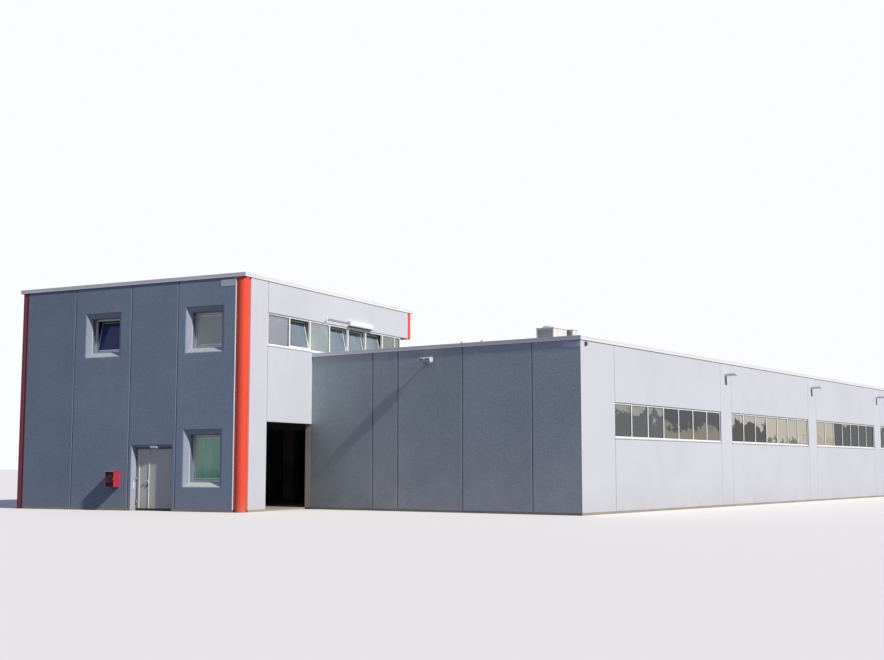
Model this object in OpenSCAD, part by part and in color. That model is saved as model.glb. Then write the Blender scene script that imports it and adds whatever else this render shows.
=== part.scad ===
// Supermarket building of precast concrete, as a scale model at 1:2.
// A long low hall with window ribbons down its long sides, and a two-storey
// block with red round corner columns that stands askew against its front.
// +X runs along the front to the right, +Y back along the long sides, +Z up.
// The origin is on the ground under the centre of the hall's plan.

/* [Hall] */
// Number of window bays along a long side of the hall
bays = 4; // [4:1:6]
// Distance from one pier to the next along the hall
bay_pitch = 4800; // [4400:10:5200]
// Width of a pier panel between two window ribbons
pier_w = 525; // [420:5:640]
// Width of the full-height panel at each corner of the hall
corner_w = 1125; // [1000:5:1300]
// Distance that the hall runs on past the block's width, to the left
hall_beyond = 905; // [880:5:1200]
// Height of the hall to the top of its coping
hall_h = 2760; // [2700:10:3000]
// Height of the hall's window sill above the ground
hall_sill = 1200; // [1000:5:1300]
// Height of the hall's window ribbon
hall_ribbon_h = 575; // [480:5:640]
// Number of panes in each ribbon of the hall
hall_panes = 7; // [5:1:9]
// Height of the hall's walls above its roof slab
parapet_h = 220; // [160:5:280]

/* [Two-storey block] */
// Distance of the block's near corner to the left of the hall's corner
block_x = 5140; // [5000:10:5200]
// Distance of the block's near corner in front of the hall's front
block_y = 2050; // [1950:5:2150]
// Angle by which the block stands askew against the hall
block_skew = 8.4; // [7:0.1:10]
// Width of the front panel beside the far column
panel_1_w = 1134; // [1000:2:1250]
// Width of the front panel with one upper window
panel_2_w = 1268; // [1100:2:1300]
// Width of the panels beside and over the door
door_bay_w = 1008; // [960:2:1100]
// Width of the front panel beside the near column
panel_4_w = 1189; // [1080:1:1280]
// Depth of the block over the corner columns
block_d = 5850; // [5750:10:5950]
// Height of the block to the top of its coping
block_h = 3944; // [3850:2:4050]
// Diameter of the round corner columns
column_dia = 200; // [180:2:220]
// Distance that the wall panels reach past a column's inner side
column_lap = 22; // [0:1:30]
// Height of the loading portal in the block's side
portal_h = 1500; // [1400:5:1600]
// Width of the block's full-height side panel beside the portal
side_panel_w = 514; // [440:2:560]
// Height of the ribbon's sill above the ground
block_sill = 2790; // [2760:5:2820]
// Height of the ribbon under the parapet panel
block_ribbon_h = 560; // [520:5:600]
// Distance from mullion to mullion in the block's ribbon
block_pane = 656; // [640:1:680]
// Distance from mullion to mullion at the narrow pane at the ribbon's rear end
narrow_pane = 221; // [200:1:260]
// Depth by which the parapet overhangs the rear wall
rear_overhang = 468; // [420:2:560]
// Top of the upper floor above the ground
upper_floor_z = 2150; // [2100:10:2300]

/* [Walls and slabs] */
// Thickness of the wall panels
wall_t = 125; // [110:1:140]
// Width of the open joint between two panels
joint_w = 12; // [8:0.5:16]
// Width of the bevel on the panels' upright edges
bevel_w = 8; // [4:1:12]
// Height of the bare concrete strip under the panels
plinth_h = 40; // [35:5:60]
// Thickness of the ground floor slabs
floor_t = 30; // [26:1:34]
// Thickness of the upper floor and the roof slabs
slab_t = 100; // [80:5:120]
// Depth of the roof girders
girder_h = 300; // [240:10:360]
// Width of the roof girders
girder_w = 150; // [120:5:180]
// Width of a square column inside the hall
post_w = 250; // [220:5:280]

/* [Copings] */
// Height of the coping's outer face
coping_h = 66; // [56:2:90]
// Distance that the coping stands out of the wall
coping_out = 14; // [12:1:24]
// Thickness of the coping's metal
coping_t = 6; // [4:0.5:10]

/* [Front openings] */
// Width of the front windows, measured on the wall's face
window_w = 800; // [720:5:860]
// Distance from the left edge of the panel beside the near column to its windows
window_4_inset = 158; // [120:2:260]
// Distance from the left edge of the second panel to its window
window_2_inset = 242; // [180:2:280]
// Height of the upper front windows on the wall's face
upper_window_h = 785; // [700:5:860]
// Height of the upper windows' lower edge above the ground
upper_window_z = 2640; // [2560:5:2700]
// Height of the lower front window on the wall's face
lower_window_h = 965; // [850:5:1050]
// Height of the lower window's lower edge above the ground
lower_window_z = 400; // [340:5:480]
// Inset of the splayed reveals on every side
splay = 85; // [60:1:100]
// Depth of the splayed part of the reveals
reveal_d = 62; // [50:1:80]
// Width of the doorway
door_w = 880; // [820:5:920]
// Height of the doorway above the ground
door_h = 1115; // [1060:5:1180]
// Inset of the splayed reveals beside and over the door
door_splay = 40; // [30:2:56]
// Width of the narrow door leaf
narrow_leaf_w = 265; // [220:5:300]
// Depth of the door leaves behind the wall's face
door_recess = 96; // [80:1:98]

/* [Joinery] */
// Width of a window frame bar as seen from outside
bar_w = 30; // [24:1:40]
// Depth of the window frames
frame_d = 34; // [28:1:36]
// Width of a front window's frame bar
front_bar_w = 40; // [32:1:46]
// Depth of the front windows' bars behind the wall's face
glazing_v = 160; // [140:2:176]
// Thickness of the lining from the reveals to the front windows' bars
lining_t = 8; // [6:1:12]
// Thickness of the glass
glass_t = 12; // [8:1:14]
// Thickness of the door leaves
leaf_t = 24; // [20:1:26]
// Gap round every door leaf
leaf_gap = 5; // [5:0.5:8]
// Angle of the sashes that stand tilted open
tilt = 12; // [6:1:15]

/* [Fittings] */
// Width of the hose cabinet
cabinet_w = 180; // [150:5:220]
// Height of the hose cabinet
cabinet_h = 262; // [230:2:300]
// Depth of the hose cabinet
cabinet_d = 150; // [120:5:180]
// Height of the hose cabinet above the ground
cabinet_z = 400; // [340:5:460]
// Length of the awning box over the block's ribbon
awning_l = 855; // [780:5:920]
// Depth of the awning box
awning_d = 70; // [60:5:110]
// Height of the awning box
awning_h = 95; // [80:5:110]
// Width of a pier lamp's head
lamp_w = 105; // [90:5:130]
// Reach of a pier lamp's head from the wall
lamp_reach = 225; // [180:5:260]
// Width of the air unit on the roof
unit_w = 345; // [330:5:390]
// Depth of the air unit
unit_d = 470; // [430:10:510]
// Height of the air unit's casing
unit_h = 560; // [500:10:600]
// Diameter of the roof vents' caps
vent_dia = 80; // [60:5:110]

/* [Hidden] */

// Colours as the photograph shows them
paint = [0.80, 0.81, 0.84];
bare_concrete = [0.62, 0.59, 0.55];
coping_white = [0.92, 0.92, 0.92];
column_red = [0.80, 0.10, 0.06];
frame_white = [0.93, 0.94, 0.94];
frame_grey = [0.55, 0.58, 0.61];
pane_green = [0.35, 0.45, 0.42, 0.5];
door_grey = [0.66, 0.69, 0.71];
roof_grey = [0.55, 0.55, 0.54];
unit_white = [0.88, 0.88, 0.86];
lamp_grey = [0.80, 0.81, 0.80];

// Derived values
ribbon_l = bay_pitch - pier_w;
hall_l = 2 * corner_w + bays * bay_pitch - pier_w;
hall_top = hall_h - coping_t;
block_top = block_h - coping_t;
hall_head = hall_sill + hall_ribbon_h;
block_head = block_sill + block_ribbon_h;
block_roof_z = block_head + slab_t;
rear_y = block_d - rear_overhang;
column_r = column_dia / 2;

// Joints of the block's front leftwards from its near corner, and the side panel's rear joint
corner_open = column_dia - column_lap;
panel_4_x = corner_open + panel_4_w;
panel_3_x = panel_4_x + door_bay_w;
panel_2_x = panel_3_x + panel_2_w;
block_w = panel_2_x + panel_1_w + corner_open;
side_joint = corner_open + side_panel_w;

hall_w = block_x + block_w + hall_beyond;
hall_roof_z = hall_h - parapet_h;

// Joints of the hall's front leftwards from its corner, the last one inside the block
front_joints = [0, 875, 2200, 3525, 4065, block_x + block_w / 2];
// Number of panels in the hall's rear wall
rear_panels = 8;

// From the hall's near front corner to the origin under the plan's centre
module place() {
    translate([hall_w / 2, -hall_l / 2, 0]) children();
}

// The block's own frame: its near corner, front along -X, side along +Y
module in_block() {
    place() translate([-block_x, -block_y, 0]) rotate([0, 0, block_skew]) children();
}

// Plan of the block and of what lies beyond it to the left, where the hall stops
module block_side_plan(grow) {
    translate([-block_x, -block_y]) rotate(block_skew)
        translate([-2 * block_w, -grow]) square([2 * block_w + grow, rear_y + 2 * grow]);
}

// Keeps the pieces of the hall clear of the block by a gap
module clear_of_block(gap) {
    difference() {
        children();
        place() translate([0, 0, -1]) linear_extrude(hall_h + 2) block_side_plan(gap);
    }
}

// Plan of the hall's inside, up to the block's side and rear wall
module hall_inside() {
    difference() {
        translate([-hall_w + wall_t, wall_t]) square([hall_w - 2 * wall_t, hall_l - 2 * wall_t]);
        block_side_plan(0);
    }
}

// The hall's walls in a frame of their own: u along the wall, v inwards
module right_wall() {
    place() rotate([0, 0, 90]) children();
}

module left_wall() {
    place() translate([-hall_w, 0, 0]) mirror([1, 0, 0]) rotate([0, 0, 90]) children();
}

module rear_wall() {
    place() translate([0, hall_l, 0]) rotate([0, 0, 180]) children();
}

// Plan of a wall piece from u0 to u1, mitred inwards where an end is 1
module strip(u0, u1, m0 = 0, m1 = 0, v0 = 0, v1 = wall_t) {
    polygon([[u0 + m0 * v0, v0], [u1 - m1 * v0, v0], [u1 - m1 * v1, v1], [u0 + m0 * v1, v1]]);
}

// Plan points of a panel's end at u, from the face inwards: mitred, or square with a bevelled edge
function panel_end(u, dir, mitred) = mitred == 1
    ? [[u, 0], [u + dir * wall_t, wall_t]]
    : [[u + dir * bevel_w, 0], [u, bevel_w], [u, wall_t]];

function reversed(v) = [for (i = [len(v) - 1 : -1 : 0]) v[i]];

// A wall panel from joint to joint, mitred at a corner where m0 or m1 is 1
module panel(u0, u1, z0, z1, m0 = 0, m1 = 0) {
    translate([0, 0, z0]) linear_extrude(z1 - z0) polygon(concat(
        panel_end(u0 + joint_w / 2, 1, m0), reversed(panel_end(u1 - joint_w / 2, -1, m1))));
}

// A box from one corner to the other
module block_from(a, b) {
    translate(a) cube(b - a);
}

// A folded metal cap over a wall from u0 to u1 whose top is at z
module coping(u0, u1, z, m0 = 0, m1 = 0) {
    inner_h = coping_h / 2;
    out = -coping_out;
    inn = wall_t + coping_out;
    e0 = u0 + coping_t / 2;
    e1 = u1 - coping_t / 2;
    translate([0, 0, z]) linear_extrude(coping_t) strip(e0, e1, m0, m1, out, inn);
    translate([0, 0, z - coping_h + coping_t]) linear_extrude(coping_h)
        strip(e0, e1, m0, m1, out, out + coping_t);
    translate([0, 0, z - inner_h + coping_t]) linear_extrude(inner_h)
        strip(e0, e1, m0, m1, inn - coping_t, inn);
    for (v = [out + coping_t, wall_t])
        translate([0, 0, z - coping_t]) linear_extrude(coping_t)
            strip(e0, e1, m0, m1, v, v + coping_out - coping_t);
}

// A frame of bars round n openings, standing in a wall from u0, z0
module bar_frame(u0, z0, w, h, n, v0, bar = bar_w) {
    pane = (w - bar) / n;
    difference() {
        block_from([u0, v0, z0], [u0 + w, v0 + frame_d, z0 + h]);
        for (i = [0 : n - 1])
            block_from([u0 + bar + i * pane, v0 - 1, z0 + bar],
                [u0 + (i + 1) * pane, v0 + frame_d + 1, z0 + h - bar]);
    }
}

module bar_glass(u0, z0, w, h, n, v0, bar = bar_w) {
    pane = (w - bar) / n;
    for (i = [0 : n - 1])
        block_from([u0 + bar + i * pane, v0 + (frame_d - glass_t) / 2, z0 + bar],
            [u0 + (i + 1) * pane, v0 + (frame_d + glass_t) / 2, z0 + h - bar]);
}

frame_v = 20;

// Start of ribbon i along a long wall
function ribbon_u(i) = corner_w + i * bay_pitch;

module hall_floor() {
    color(bare_concrete) place() linear_extrude(floor_t) hall_inside();
}

module hall_plinth() {
    color(bare_concrete) clear_of_block(joint_w / 2) {
        place() linear_extrude(plinth_h) strip(-hall_w, -joint_w, 0, 1);
        right_wall() linear_extrude(plinth_h) strip(0, hall_l - joint_w, 1, 1);
        rear_wall() linear_extrude(plinth_h) strip(0, hall_w - joint_w, 1, 1);
        left_wall() linear_extrude(plinth_h) strip(0, hall_l, 0, 1);
    }
}

module hall_front_panels() {
    color(paint) clear_of_block(joint_w / 2) place() for (i = [0 : len(front_joints) - 2])
        panel(-front_joints[i + 1], -front_joints[i], plinth_h, hall_top, 0, i == 0 ? 1 : 0);
}

module hall_side_corner_panels() {
    color(paint) right_wall() {
        panel(0, corner_w, plinth_h, hall_top, 1, 0);
        panel(hall_l - corner_w, hall_l, plinth_h, hall_top, 0, 1);
    }
}

module hall_side_piers() {
    color(paint) right_wall() for (i = [1 : bays - 1])
        panel(ribbon_u(i) - pier_w, ribbon_u(i), plinth_h, hall_top);
}

module hall_side_lower_panels() {
    color(paint) right_wall() for (i = [0 : bays - 1])
        panel(ribbon_u(i), ribbon_u(i) + ribbon_l, plinth_h, hall_sill);
}

module hall_side_upper_panels() {
    color(paint) right_wall() for (i = [0 : bays - 1])
        panel(ribbon_u(i), ribbon_u(i) + ribbon_l, hall_head, hall_top);
}

// Both long walls, from the first bay given for each
module long_walls(first_right, first_left) {
    right_wall() for (i = [first_right : bays - 1]) translate([ribbon_u(i), 0, 0]) children();
    left_wall() for (i = [first_left : bays - 1]) translate([ribbon_u(i), 0, 0]) children();
}

module hall_window_frames() {
    color(frame_white) long_walls(0, 1)
        bar_frame(0, hall_sill, ribbon_l, hall_ribbon_h, hall_panes, frame_v);
}

module hall_glass() {
    color(pane_green) long_walls(0, 1)
        bar_glass(0, hall_sill, ribbon_l, hall_ribbon_h, hall_panes, frame_v);
}

module hall_left_panels() {
    color(paint) clear_of_block(joint_w / 2) left_wall() {
        panel(0, ribbon_u(1) - pier_w, plinth_h, hall_top);
        panel(hall_l - corner_w, hall_l, plinth_h, hall_top, 0, 1);
        for (i = [1 : bays - 1]) {
            panel(ribbon_u(i) - pier_w, ribbon_u(i), plinth_h, hall_top);
            panel(ribbon_u(i), ribbon_u(i) + ribbon_l, plinth_h, hall_sill);
            panel(ribbon_u(i), ribbon_u(i) + ribbon_l, hall_head, hall_top);
        }
    }
}

module hall_rear_panels() {
    w = hall_w / rear_panels;
    color(paint) rear_wall() for (i = [0 : rear_panels - 1])
        panel(i * w, (i + 1) * w, plinth_h, hall_top, i == 0 ? 1 : 0, i == rear_panels - 1 ? 1 : 0);
}

girder_z = hall_roof_z - slab_t - girder_h;

// Centre of the pier before ribbon i
function pier_u(i) = ribbon_u(i) - pier_w / 2;

// Square posts under the girders, and flat ones under the block's side and rear walls
module posts() {
    color(bare_concrete) {
        long_walls(1, 1) translate([-(pier_w + post_w) / 2, wall_t, floor_t])
            cube([post_w, post_w, girder_z - floor_t]);
        block_side() for (u = [portal_end, rear_y - post_w])
            translate([u, 0, floor_t]) cube([post_w, wall_t, portal_h - floor_t]);
        block_rear(rear_y) for (u = [block_w / 2, block_w - wall_t - post_w])
            translate([u, 0, floor_t]) cube([post_w, wall_t, portal_h - floor_t]);
    }
}

module hall_girders() {
    color(bare_concrete) place() for (i = [1 : bays - 1])
        block_from([-hall_w + wall_t, pier_u(i) - girder_w / 2, girder_z],
            [-wall_t, pier_u(i) + girder_w / 2, girder_z + girder_h]);
}

module hall_roof() {
    color(roof_grey) place() translate([0, 0, hall_roof_z - slab_t]) linear_extrude(slab_t)
        hall_inside();
}

module hall_coping() {
    color(coping_white) clear_of_block(coping_t / 2) {
        place() coping(-hall_w, 0, hall_top, 0, 1);
        right_wall() coping(0, hall_l, hall_top, 1, 1);
        rear_wall() coping(0, hall_w, hall_top, 1, 1);
        left_wall() coping(0, hall_l, hall_top, 0, 1);
    }
}

// The block's walls in frames of their own: u along the wall, v inwards
module block_side() {
    in_block() rotate([0, 0, 90]) children();
}

module block_left() {
    in_block() translate([-block_w, 0, 0]) mirror([1, 0, 0]) rotate([0, 0, 90]) children();
}

module block_rear(y) {
    in_block() translate([0, y, 0]) rotate([0, 0, 180]) children();
}

// Centres of the four corner columns, which stand flush with both walls of their corner
column_x = [-column_r, -block_w + column_r];
column_y = [column_r, block_d - column_r];
column_play = 0.5;

// Keeps the pieces of the block clear of its corner columns
module clear_of_columns() {
    difference() {
        children();
        in_block() for (x = column_x, y = column_y)
            translate([x, y, -1]) cylinder(h = block_top + 1, r = column_r + column_play, $fn = 64);
    }
}

module block_floor() {
    color(bare_concrete) clear_of_columns() in_block()
        block_from([-block_w + wall_t, wall_t, 0], [-wall_t, rear_y - wall_t, floor_t]);
}

door_x = (panel_4_x + panel_3_x) / 2;
// Edges and top of the doorway behind its splayed reveals
door_left = -door_x - door_w / 2 + door_splay;
door_right = -door_x + door_w / 2 - door_splay;
door_top = door_h - door_splay;

// The door's hole, which runs on below the ground
module door_hole() {
    splayed_hole(-door_x - door_w / 2, -door_h, door_w, 2 * door_h, door_splay);
}

module block_plinth() {
    edge = corner_open + joint_w / 2;
    color(bare_concrete) clear_of_columns() {
        in_block() difference() {
            union() {
                block_from([-block_w + edge, 0, 0], [door_left, wall_t, plinth_h]);
                block_from([door_right, 0, 0], [-edge, wall_t, plinth_h]);
            }
            door_hole();
        }
        block_side() block_from([edge, 0, 0], [side_joint - joint_w / 2, wall_t, plinth_h]);
        block_left() block_from([edge, 0, 0], [rear_y, wall_t, plinth_h]);
    }
}

// A splayed hole with an inset of s: a wide mouth on the wall's face, a smaller one behind
module splayed_hole(x, z, w, h, s = splay) {
    translate([0, 0, z]) {
        intersection() {
            linear_extrude(h) polygon([[x, -1], [x, 0], [x + s, reveal_d], [x + w - s, reveal_d],
                [x + w, 0], [x + w, -1]]);
            translate([x, 0, 0]) rotate([90, 0, 90]) linear_extrude(w)
                polygon([[-1, 0], [0, 0], [reveal_d, s], [reveal_d, h - s], [0, h], [-1, h]]);
        }
        block_from([x + s, reveal_d - 1, s], [x + w - s, wall_t + 1, h - s]);
    }
}

// Left edges of the front windows
window_4_x = -panel_4_x + window_4_inset;
window_2_x = -panel_2_x + window_2_inset;

module front_panel_1() {
    color(paint) clear_of_columns() in_block()
        panel(-block_w + corner_open, -panel_2_x, plinth_h, block_top);
}

module front_panel_2() {
    color(paint) in_block() difference() {
        panel(-panel_2_x, -panel_3_x, plinth_h, block_top);
        splayed_hole(window_2_x, upper_window_z, window_w, upper_window_h);
    }
}

module door_side_panels() {
    color(paint) in_block() difference() {
        union() {
            panel(-panel_3_x, door_left + joint_w / 2, plinth_h, door_top);
            panel(door_right - joint_w / 2, -panel_4_x, plinth_h, door_top);
        }
        door_hole();
    }
}

module door_head_panel() {
    color(paint) in_block() difference() {
        panel(-panel_3_x, -panel_4_x, door_top, block_top);
        door_hole();
    }
}

module front_panel_4() {
    color(paint) clear_of_columns() in_block() difference() {
        panel(-panel_4_x, -corner_open, plinth_h, block_top);
        splayed_hole(window_4_x, upper_window_z, window_w, upper_window_h);
        splayed_hole(window_4_x, lower_window_z, window_w, lower_window_h);
    }
}

module block_side_panel() {
    color(paint) clear_of_columns() block_side()
        panel(corner_open, side_joint, plinth_h, block_top);
}

module side_spandrel_panel() {
    color(paint) block_side() panel(side_joint, rear_y + joint_w / 2, portal_h, block_sill);
}

// Where the portal ends, at the face of the hall's front wall
portal_end = block_y / cos(block_skew);

module parapet_panels() {
    n = 2;
    w = (block_w - 2 * corner_open) / n;
    color(paint) clear_of_columns() {
        block_side() panel(side_joint, block_d - corner_open, block_head, block_top);
        block_rear(block_d) for (i = [0 : n - 1])
            panel(corner_open + i * w, corner_open + (i + 1) * w, block_head, block_top);
    }
}

module block_left_panels() {
    n = 4;
    w = (rear_y - corner_open) / n;
    color(paint) clear_of_columns() block_left() {
        for (i = [0 : n - 1])
            panel(corner_open + i * w, corner_open + (i + 1) * w, plinth_h, block_top);
        panel(rear_y, block_d - corner_open, block_head, block_top);
    }
}

module block_rear_panels() {
    n = 4;
    w = (block_w - 2 * wall_t) / n;
    color(paint) block_rear(rear_y) for (i = [0 : n - 1])
        panel(wall_t + i * w, wall_t + (i + 1) * w, portal_h, block_head);
}

module corner_columns() {
    color(column_red) in_block() for (x = column_x) {
        translate([x, column_y[0], 0]) cylinder(h = block_top, r = column_r, $fn = 64);
        translate([x, column_y[1], block_head])
            cylinder(h = block_top - block_head, r = column_r, $fn = 64);
    }
}

module upper_floor() {
    color(bare_concrete) clear_of_columns() in_block()
        block_from([-block_w + wall_t, wall_t, upper_floor_z - slab_t],
            [-wall_t, rear_y - wall_t, upper_floor_z]);
}

module block_roof() {
    color(roof_grey) clear_of_columns() in_block()
        block_from([-block_w + wall_t, wall_t, block_head], [-wall_t, block_d - wall_t, block_roof_z]);
}

module block_coping() {
    color(coping_white) clear_of_columns() {
        in_block() coping(-block_w, 0, block_top, 1, 1);
        block_side() coping(0, block_d, block_top, 1, 1);
        block_left() coping(0, block_d, block_top, 1, 1);
        block_rear(block_d) coping(0, block_w, block_top, 1, 1);
    }
}

// The block's ribbon: full panes, then a shorter one and a narrow one at the rear
full_panes = 6;
ribbon_start = side_joint;
ribbon_bars = concat([for (i = [0 : full_panes]) i * block_pane],
    [rear_y - bar_w - narrow_pane - ribbon_start, rear_y - bar_w - ribbon_start]);
tilted_panes = [1, 3, 4, 5];

module ribbon_frame() {
    color(frame_white) block_side() difference() {
        block_from([ribbon_start, frame_v, block_sill], [rear_y, frame_v + frame_d, block_head]);
        for (i = [0 : len(ribbon_bars) - 2])
            block_from([ribbon_start + ribbon_bars[i] + bar_w, frame_v - 1, block_sill + bar_w],
                [ribbon_start + ribbon_bars[i + 1], frame_v + frame_d + 1, block_head - bar_w]);
    }
}

sash_bar = 22;
sash_t = 24;
sash_play = 0.3;

// A bottom-hung sash of w by h, tilted inwards about its lower edge at u, v, z
module tilted(u, v, z) {
    translate([u + sash_play, v, z + sash_play]) rotate([-tilt, 0, 0]) translate([0, -sash_t, 0]) children();
}

module sash_ring(w, h) {
    difference() {
        cube([w - 2 * sash_play, sash_t, h - 2 * sash_play]);
        translate([sash_bar, -1, sash_bar])
            cube([w - 2 * sash_play - 2 * sash_bar, sash_t + 2, h - 2 * sash_play - 2 * sash_bar]);
    }
}

module sash_pane(w, h) {
    translate([sash_bar, (sash_t - glass_t) / 2, sash_bar])
        cube([w - 2 * sash_play - 2 * sash_bar, glass_t, h - 2 * sash_play - 2 * sash_bar]);
}

// Clear size of a ribbon opening and of a front window's opening
ribbon_sash = [block_pane - bar_w, block_ribbon_h - 2 * bar_w];
front_clear_w = window_w - 2 * splay - 2 * front_bar_w;

module tilted_in_ribbon(i) {
    tilted(ribbon_start + ribbon_bars[i] + bar_w, frame_v + frame_d, block_sill + bar_w) children();
}

module ribbon_sashes() {
    color(frame_white) block_side() for (i = tilted_panes) tilted_in_ribbon(i)
        sash_ring(ribbon_sash[0], ribbon_sash[1]);
}

module ribbon_glass() {
    color(pane_green) block_side() {
        for (i = tilted_panes) tilted_in_ribbon(i) sash_pane(ribbon_sash[0], ribbon_sash[1]);
        for (i = [0, 2, 6, 7])
            block_from([ribbon_start + ribbon_bars[i] + bar_w, frame_v + (frame_d - glass_t) / 2,
                block_sill + bar_w],
                [ribbon_start + ribbon_bars[i + 1], frame_v + (frame_d + glass_t) / 2, block_head - bar_w]);
    }
}

// Left edge, lower edge and height of each front window's mouth
shut_windows = [
    [window_4_x, lower_window_z, lower_window_h],
    [window_4_x, upper_window_z, upper_window_h]
];
open_window = [window_2_x, upper_window_z, upper_window_h];
// Front edge of the lining, behind the splayed part of the reveals
lining_v = 90;
// Distance from the edge of a front window's mouth to its clear opening
front_edge = splay + front_bar_w;

module tilted_in_front() {
    tilted(open_window[0] + front_edge, glazing_v + frame_d, open_window[1] + front_edge) children();
}

// A lining as deep as the bars' place, with the bars at its rear end
module front_window_frames() {
    color(frame_grey) in_block() for (f = concat(shut_windows, [open_window])) {
        w = window_w - 2 * splay;
        h = f[2] - 2 * splay;
        translate([f[0] + splay, 0, f[1] + splay]) difference() {
            block_from([0, lining_v, 0], [w, glazing_v + 1, h]);
            block_from([lining_t, lining_v - 1, lining_t], [w - lining_t, glazing_v + 2, h - lining_t]);
        }
        bar_frame(f[0] + splay, f[1] + splay, w, h, 1, glazing_v, front_bar_w);
    }
}

module front_window_sash() {
    color(frame_grey) in_block() tilted_in_front()
        sash_ring(front_clear_w, open_window[2] - 2 * front_edge);
}

module front_window_glass() {
    color(pane_green) in_block() {
        for (f = shut_windows)
            bar_glass(f[0] + splay, f[1] + splay, window_w - 2 * splay, f[2] - 2 * splay, 1, glazing_v,
                front_bar_w);
        tilted_in_front() sash_pane(front_clear_w, open_window[2] - 2 * front_edge);
    }
}

jamb_w = 22;
head_w = 29;
leaf_z = floor_t + leaf_gap;
leaf_top = door_top - head_w - leaf_gap;
narrow_leaf_x = door_left + jamb_w + leaf_gap;
wide_leaf_w = door_right - door_left - 2 * jamb_w - 3 * leaf_gap - narrow_leaf_w;
wide_leaf_x = narrow_leaf_x + narrow_leaf_w + leaf_gap;

// Hinge barrels stand in front of the leaves, over the gap beside the jambs
hinge_r = 7;
hinge_out = 8;
hinge_h = 24;
hinge_play = 0.3;
hinge_plate = [22, 3];
narrow_hinge_x = narrow_leaf_x - leaf_gap / 2;
wide_hinge_x = wide_leaf_x + wide_leaf_w + leaf_gap / 2;
hinge_levels = [leaf_z + 110, (leaf_z + leaf_top) / 2, leaf_top - 110];

// One knuckle at the hinge line, with its plate towards dir (-1 left, 1 right)
module knuckle(x, z, h, dir) {
    translate([x, door_recess - hinge_out, z]) cylinder(h = h, r = hinge_r, $fn = 32);
    translate([dir > 0 ? x : x - hinge_plate[0], door_recess - hinge_plate[1], z])
        cube([hinge_plate[0], hinge_plate[1], h]);
}

module leaf_knuckles(x, dir) {
    for (z = hinge_levels) knuckle(x, z, hinge_h, dir);
}

module frame_knuckles(x, dir) {
    for (z = hinge_levels) {
        knuckle(x, z - hinge_h - hinge_play, hinge_h, dir);
        knuckle(x, z + hinge_h + hinge_play, hinge_h, dir);
    }
}

module door_frame() {
    color(frame_grey) in_block() {
        difference() {
            block_from([door_left, door_recess, floor_t], [door_right, door_recess + leaf_t, door_top]);
            block_from([door_left + jamb_w, door_recess - 1, floor_t - 1],
                [door_right - jamb_w, door_recess + leaf_t + 1, door_top - head_w]);
        }
        frame_knuckles(narrow_hinge_x, -1);
        frame_knuckles(wide_hinge_x, 1);
    }
}

module door_leaf(x, w) {
    translate([x, door_recess, leaf_z]) cube([w, leaf_t, leaf_top - leaf_z]);
}

handle_z = 500;
handle_r = 8;
handle_out = 26;
handle_l = 44;
handle_inset = 25;

// The narrow leaf carries the handle near its free edge
module narrow_door_leaf() {
    color(door_grey) in_block() {
        door_leaf(narrow_leaf_x, narrow_leaf_w);
        leaf_knuckles(narrow_hinge_x, 1);
        translate([narrow_leaf_x + narrow_leaf_w - handle_inset, door_recess, handle_z]) {
            rotate([90, 0, 0]) cylinder(h = handle_out, r = handle_r, $fn = 32);
            translate([0, -handle_out + handle_r / 2, 0]) rotate([0, -90, 0])
                cylinder(h = handle_l, r = handle_r, $fn = 32);
        }
    }
}

module wide_door_leaf() {
    color(door_grey) in_block() {
        door_leaf(wide_leaf_x, wide_leaf_w);
        leaf_knuckles(wide_hinge_x, -1);
    }
}

// A bar along a wall with its section given as points outwards and upwards
module section_bar(u, l) {
    translate([u, 0, 0]) rotate([90, 0, 90]) linear_extrude(l) children();
}

door_lamp_l = 150;
door_lamp_x = -39;
door_lamp_h = 44;
door_lamp_base_h = 19;
door_lamp_out = 92;

// A lamp on the head of the door frame that widens under the splayed reveal to the wall's face
module door_lamp() {
    bevel = 8;
    color(coping_white) in_block()
        translate([-door_x, door_recess, leaf_top + 2 * leaf_gap]) section_bar(door_lamp_x, door_lamp_l)
            polygon([[0, 0], [0, door_lamp_base_h], [reveal_d - door_recess, door_lamp_base_h],
                [bevel - door_lamp_out, door_lamp_h], [-door_lamp_out, door_lamp_h - bevel],
                [-door_lamp_out, bevel], [bevel - door_lamp_out, 0]]);
}

cabinet_gap = 179;
cabinet_rim = 10;
cabinet_recess = 40;
cabinet_lid = 6;
reel_r = 62;
reel_w = 29;
reel_rim = 4;

// A casing with a lid that stands out, a framed front and the hose reel behind it
module hose_cabinet() {
    hub = reel_r / 3;
    color(column_red) in_block()
        translate([-panel_3_x - cabinet_gap - cabinet_w, -cabinet_d, cabinet_z]) {
            difference() {
                cube([cabinet_w, cabinet_d, cabinet_h]);
                translate([cabinet_rim, -1, cabinet_rim])
                    cube([cabinet_w - 2 * cabinet_rim, cabinet_recess + 1, cabinet_h - 2 * cabinet_rim]);
            }
            translate([-cabinet_lid, -cabinet_lid, cabinet_h])
                cube([cabinet_w + 2 * cabinet_lid, cabinet_d + cabinet_lid, cabinet_lid]);
            translate([cabinet_w / 2, cabinet_recess, cabinet_h / 2]) rotate([90, 0, 0])
                rotate_extrude($fn = 48) polygon([[0, -1], [reel_r, -1], [reel_r, reel_rim],
                    [hub, 2 * reel_rim], [hub, reel_w - 2 * reel_rim], [reel_r, reel_w - reel_rim],
                    [reel_r, reel_w], [0, reel_w]]);
        }
}

awning_u = 3280;
awning_up = 20;
awning_slot = 10;
awning_rod_r = 5;
awning_round = 20;
awning_bracket = [30, 44, 62];
awning_bracket_u = 2478;

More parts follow.
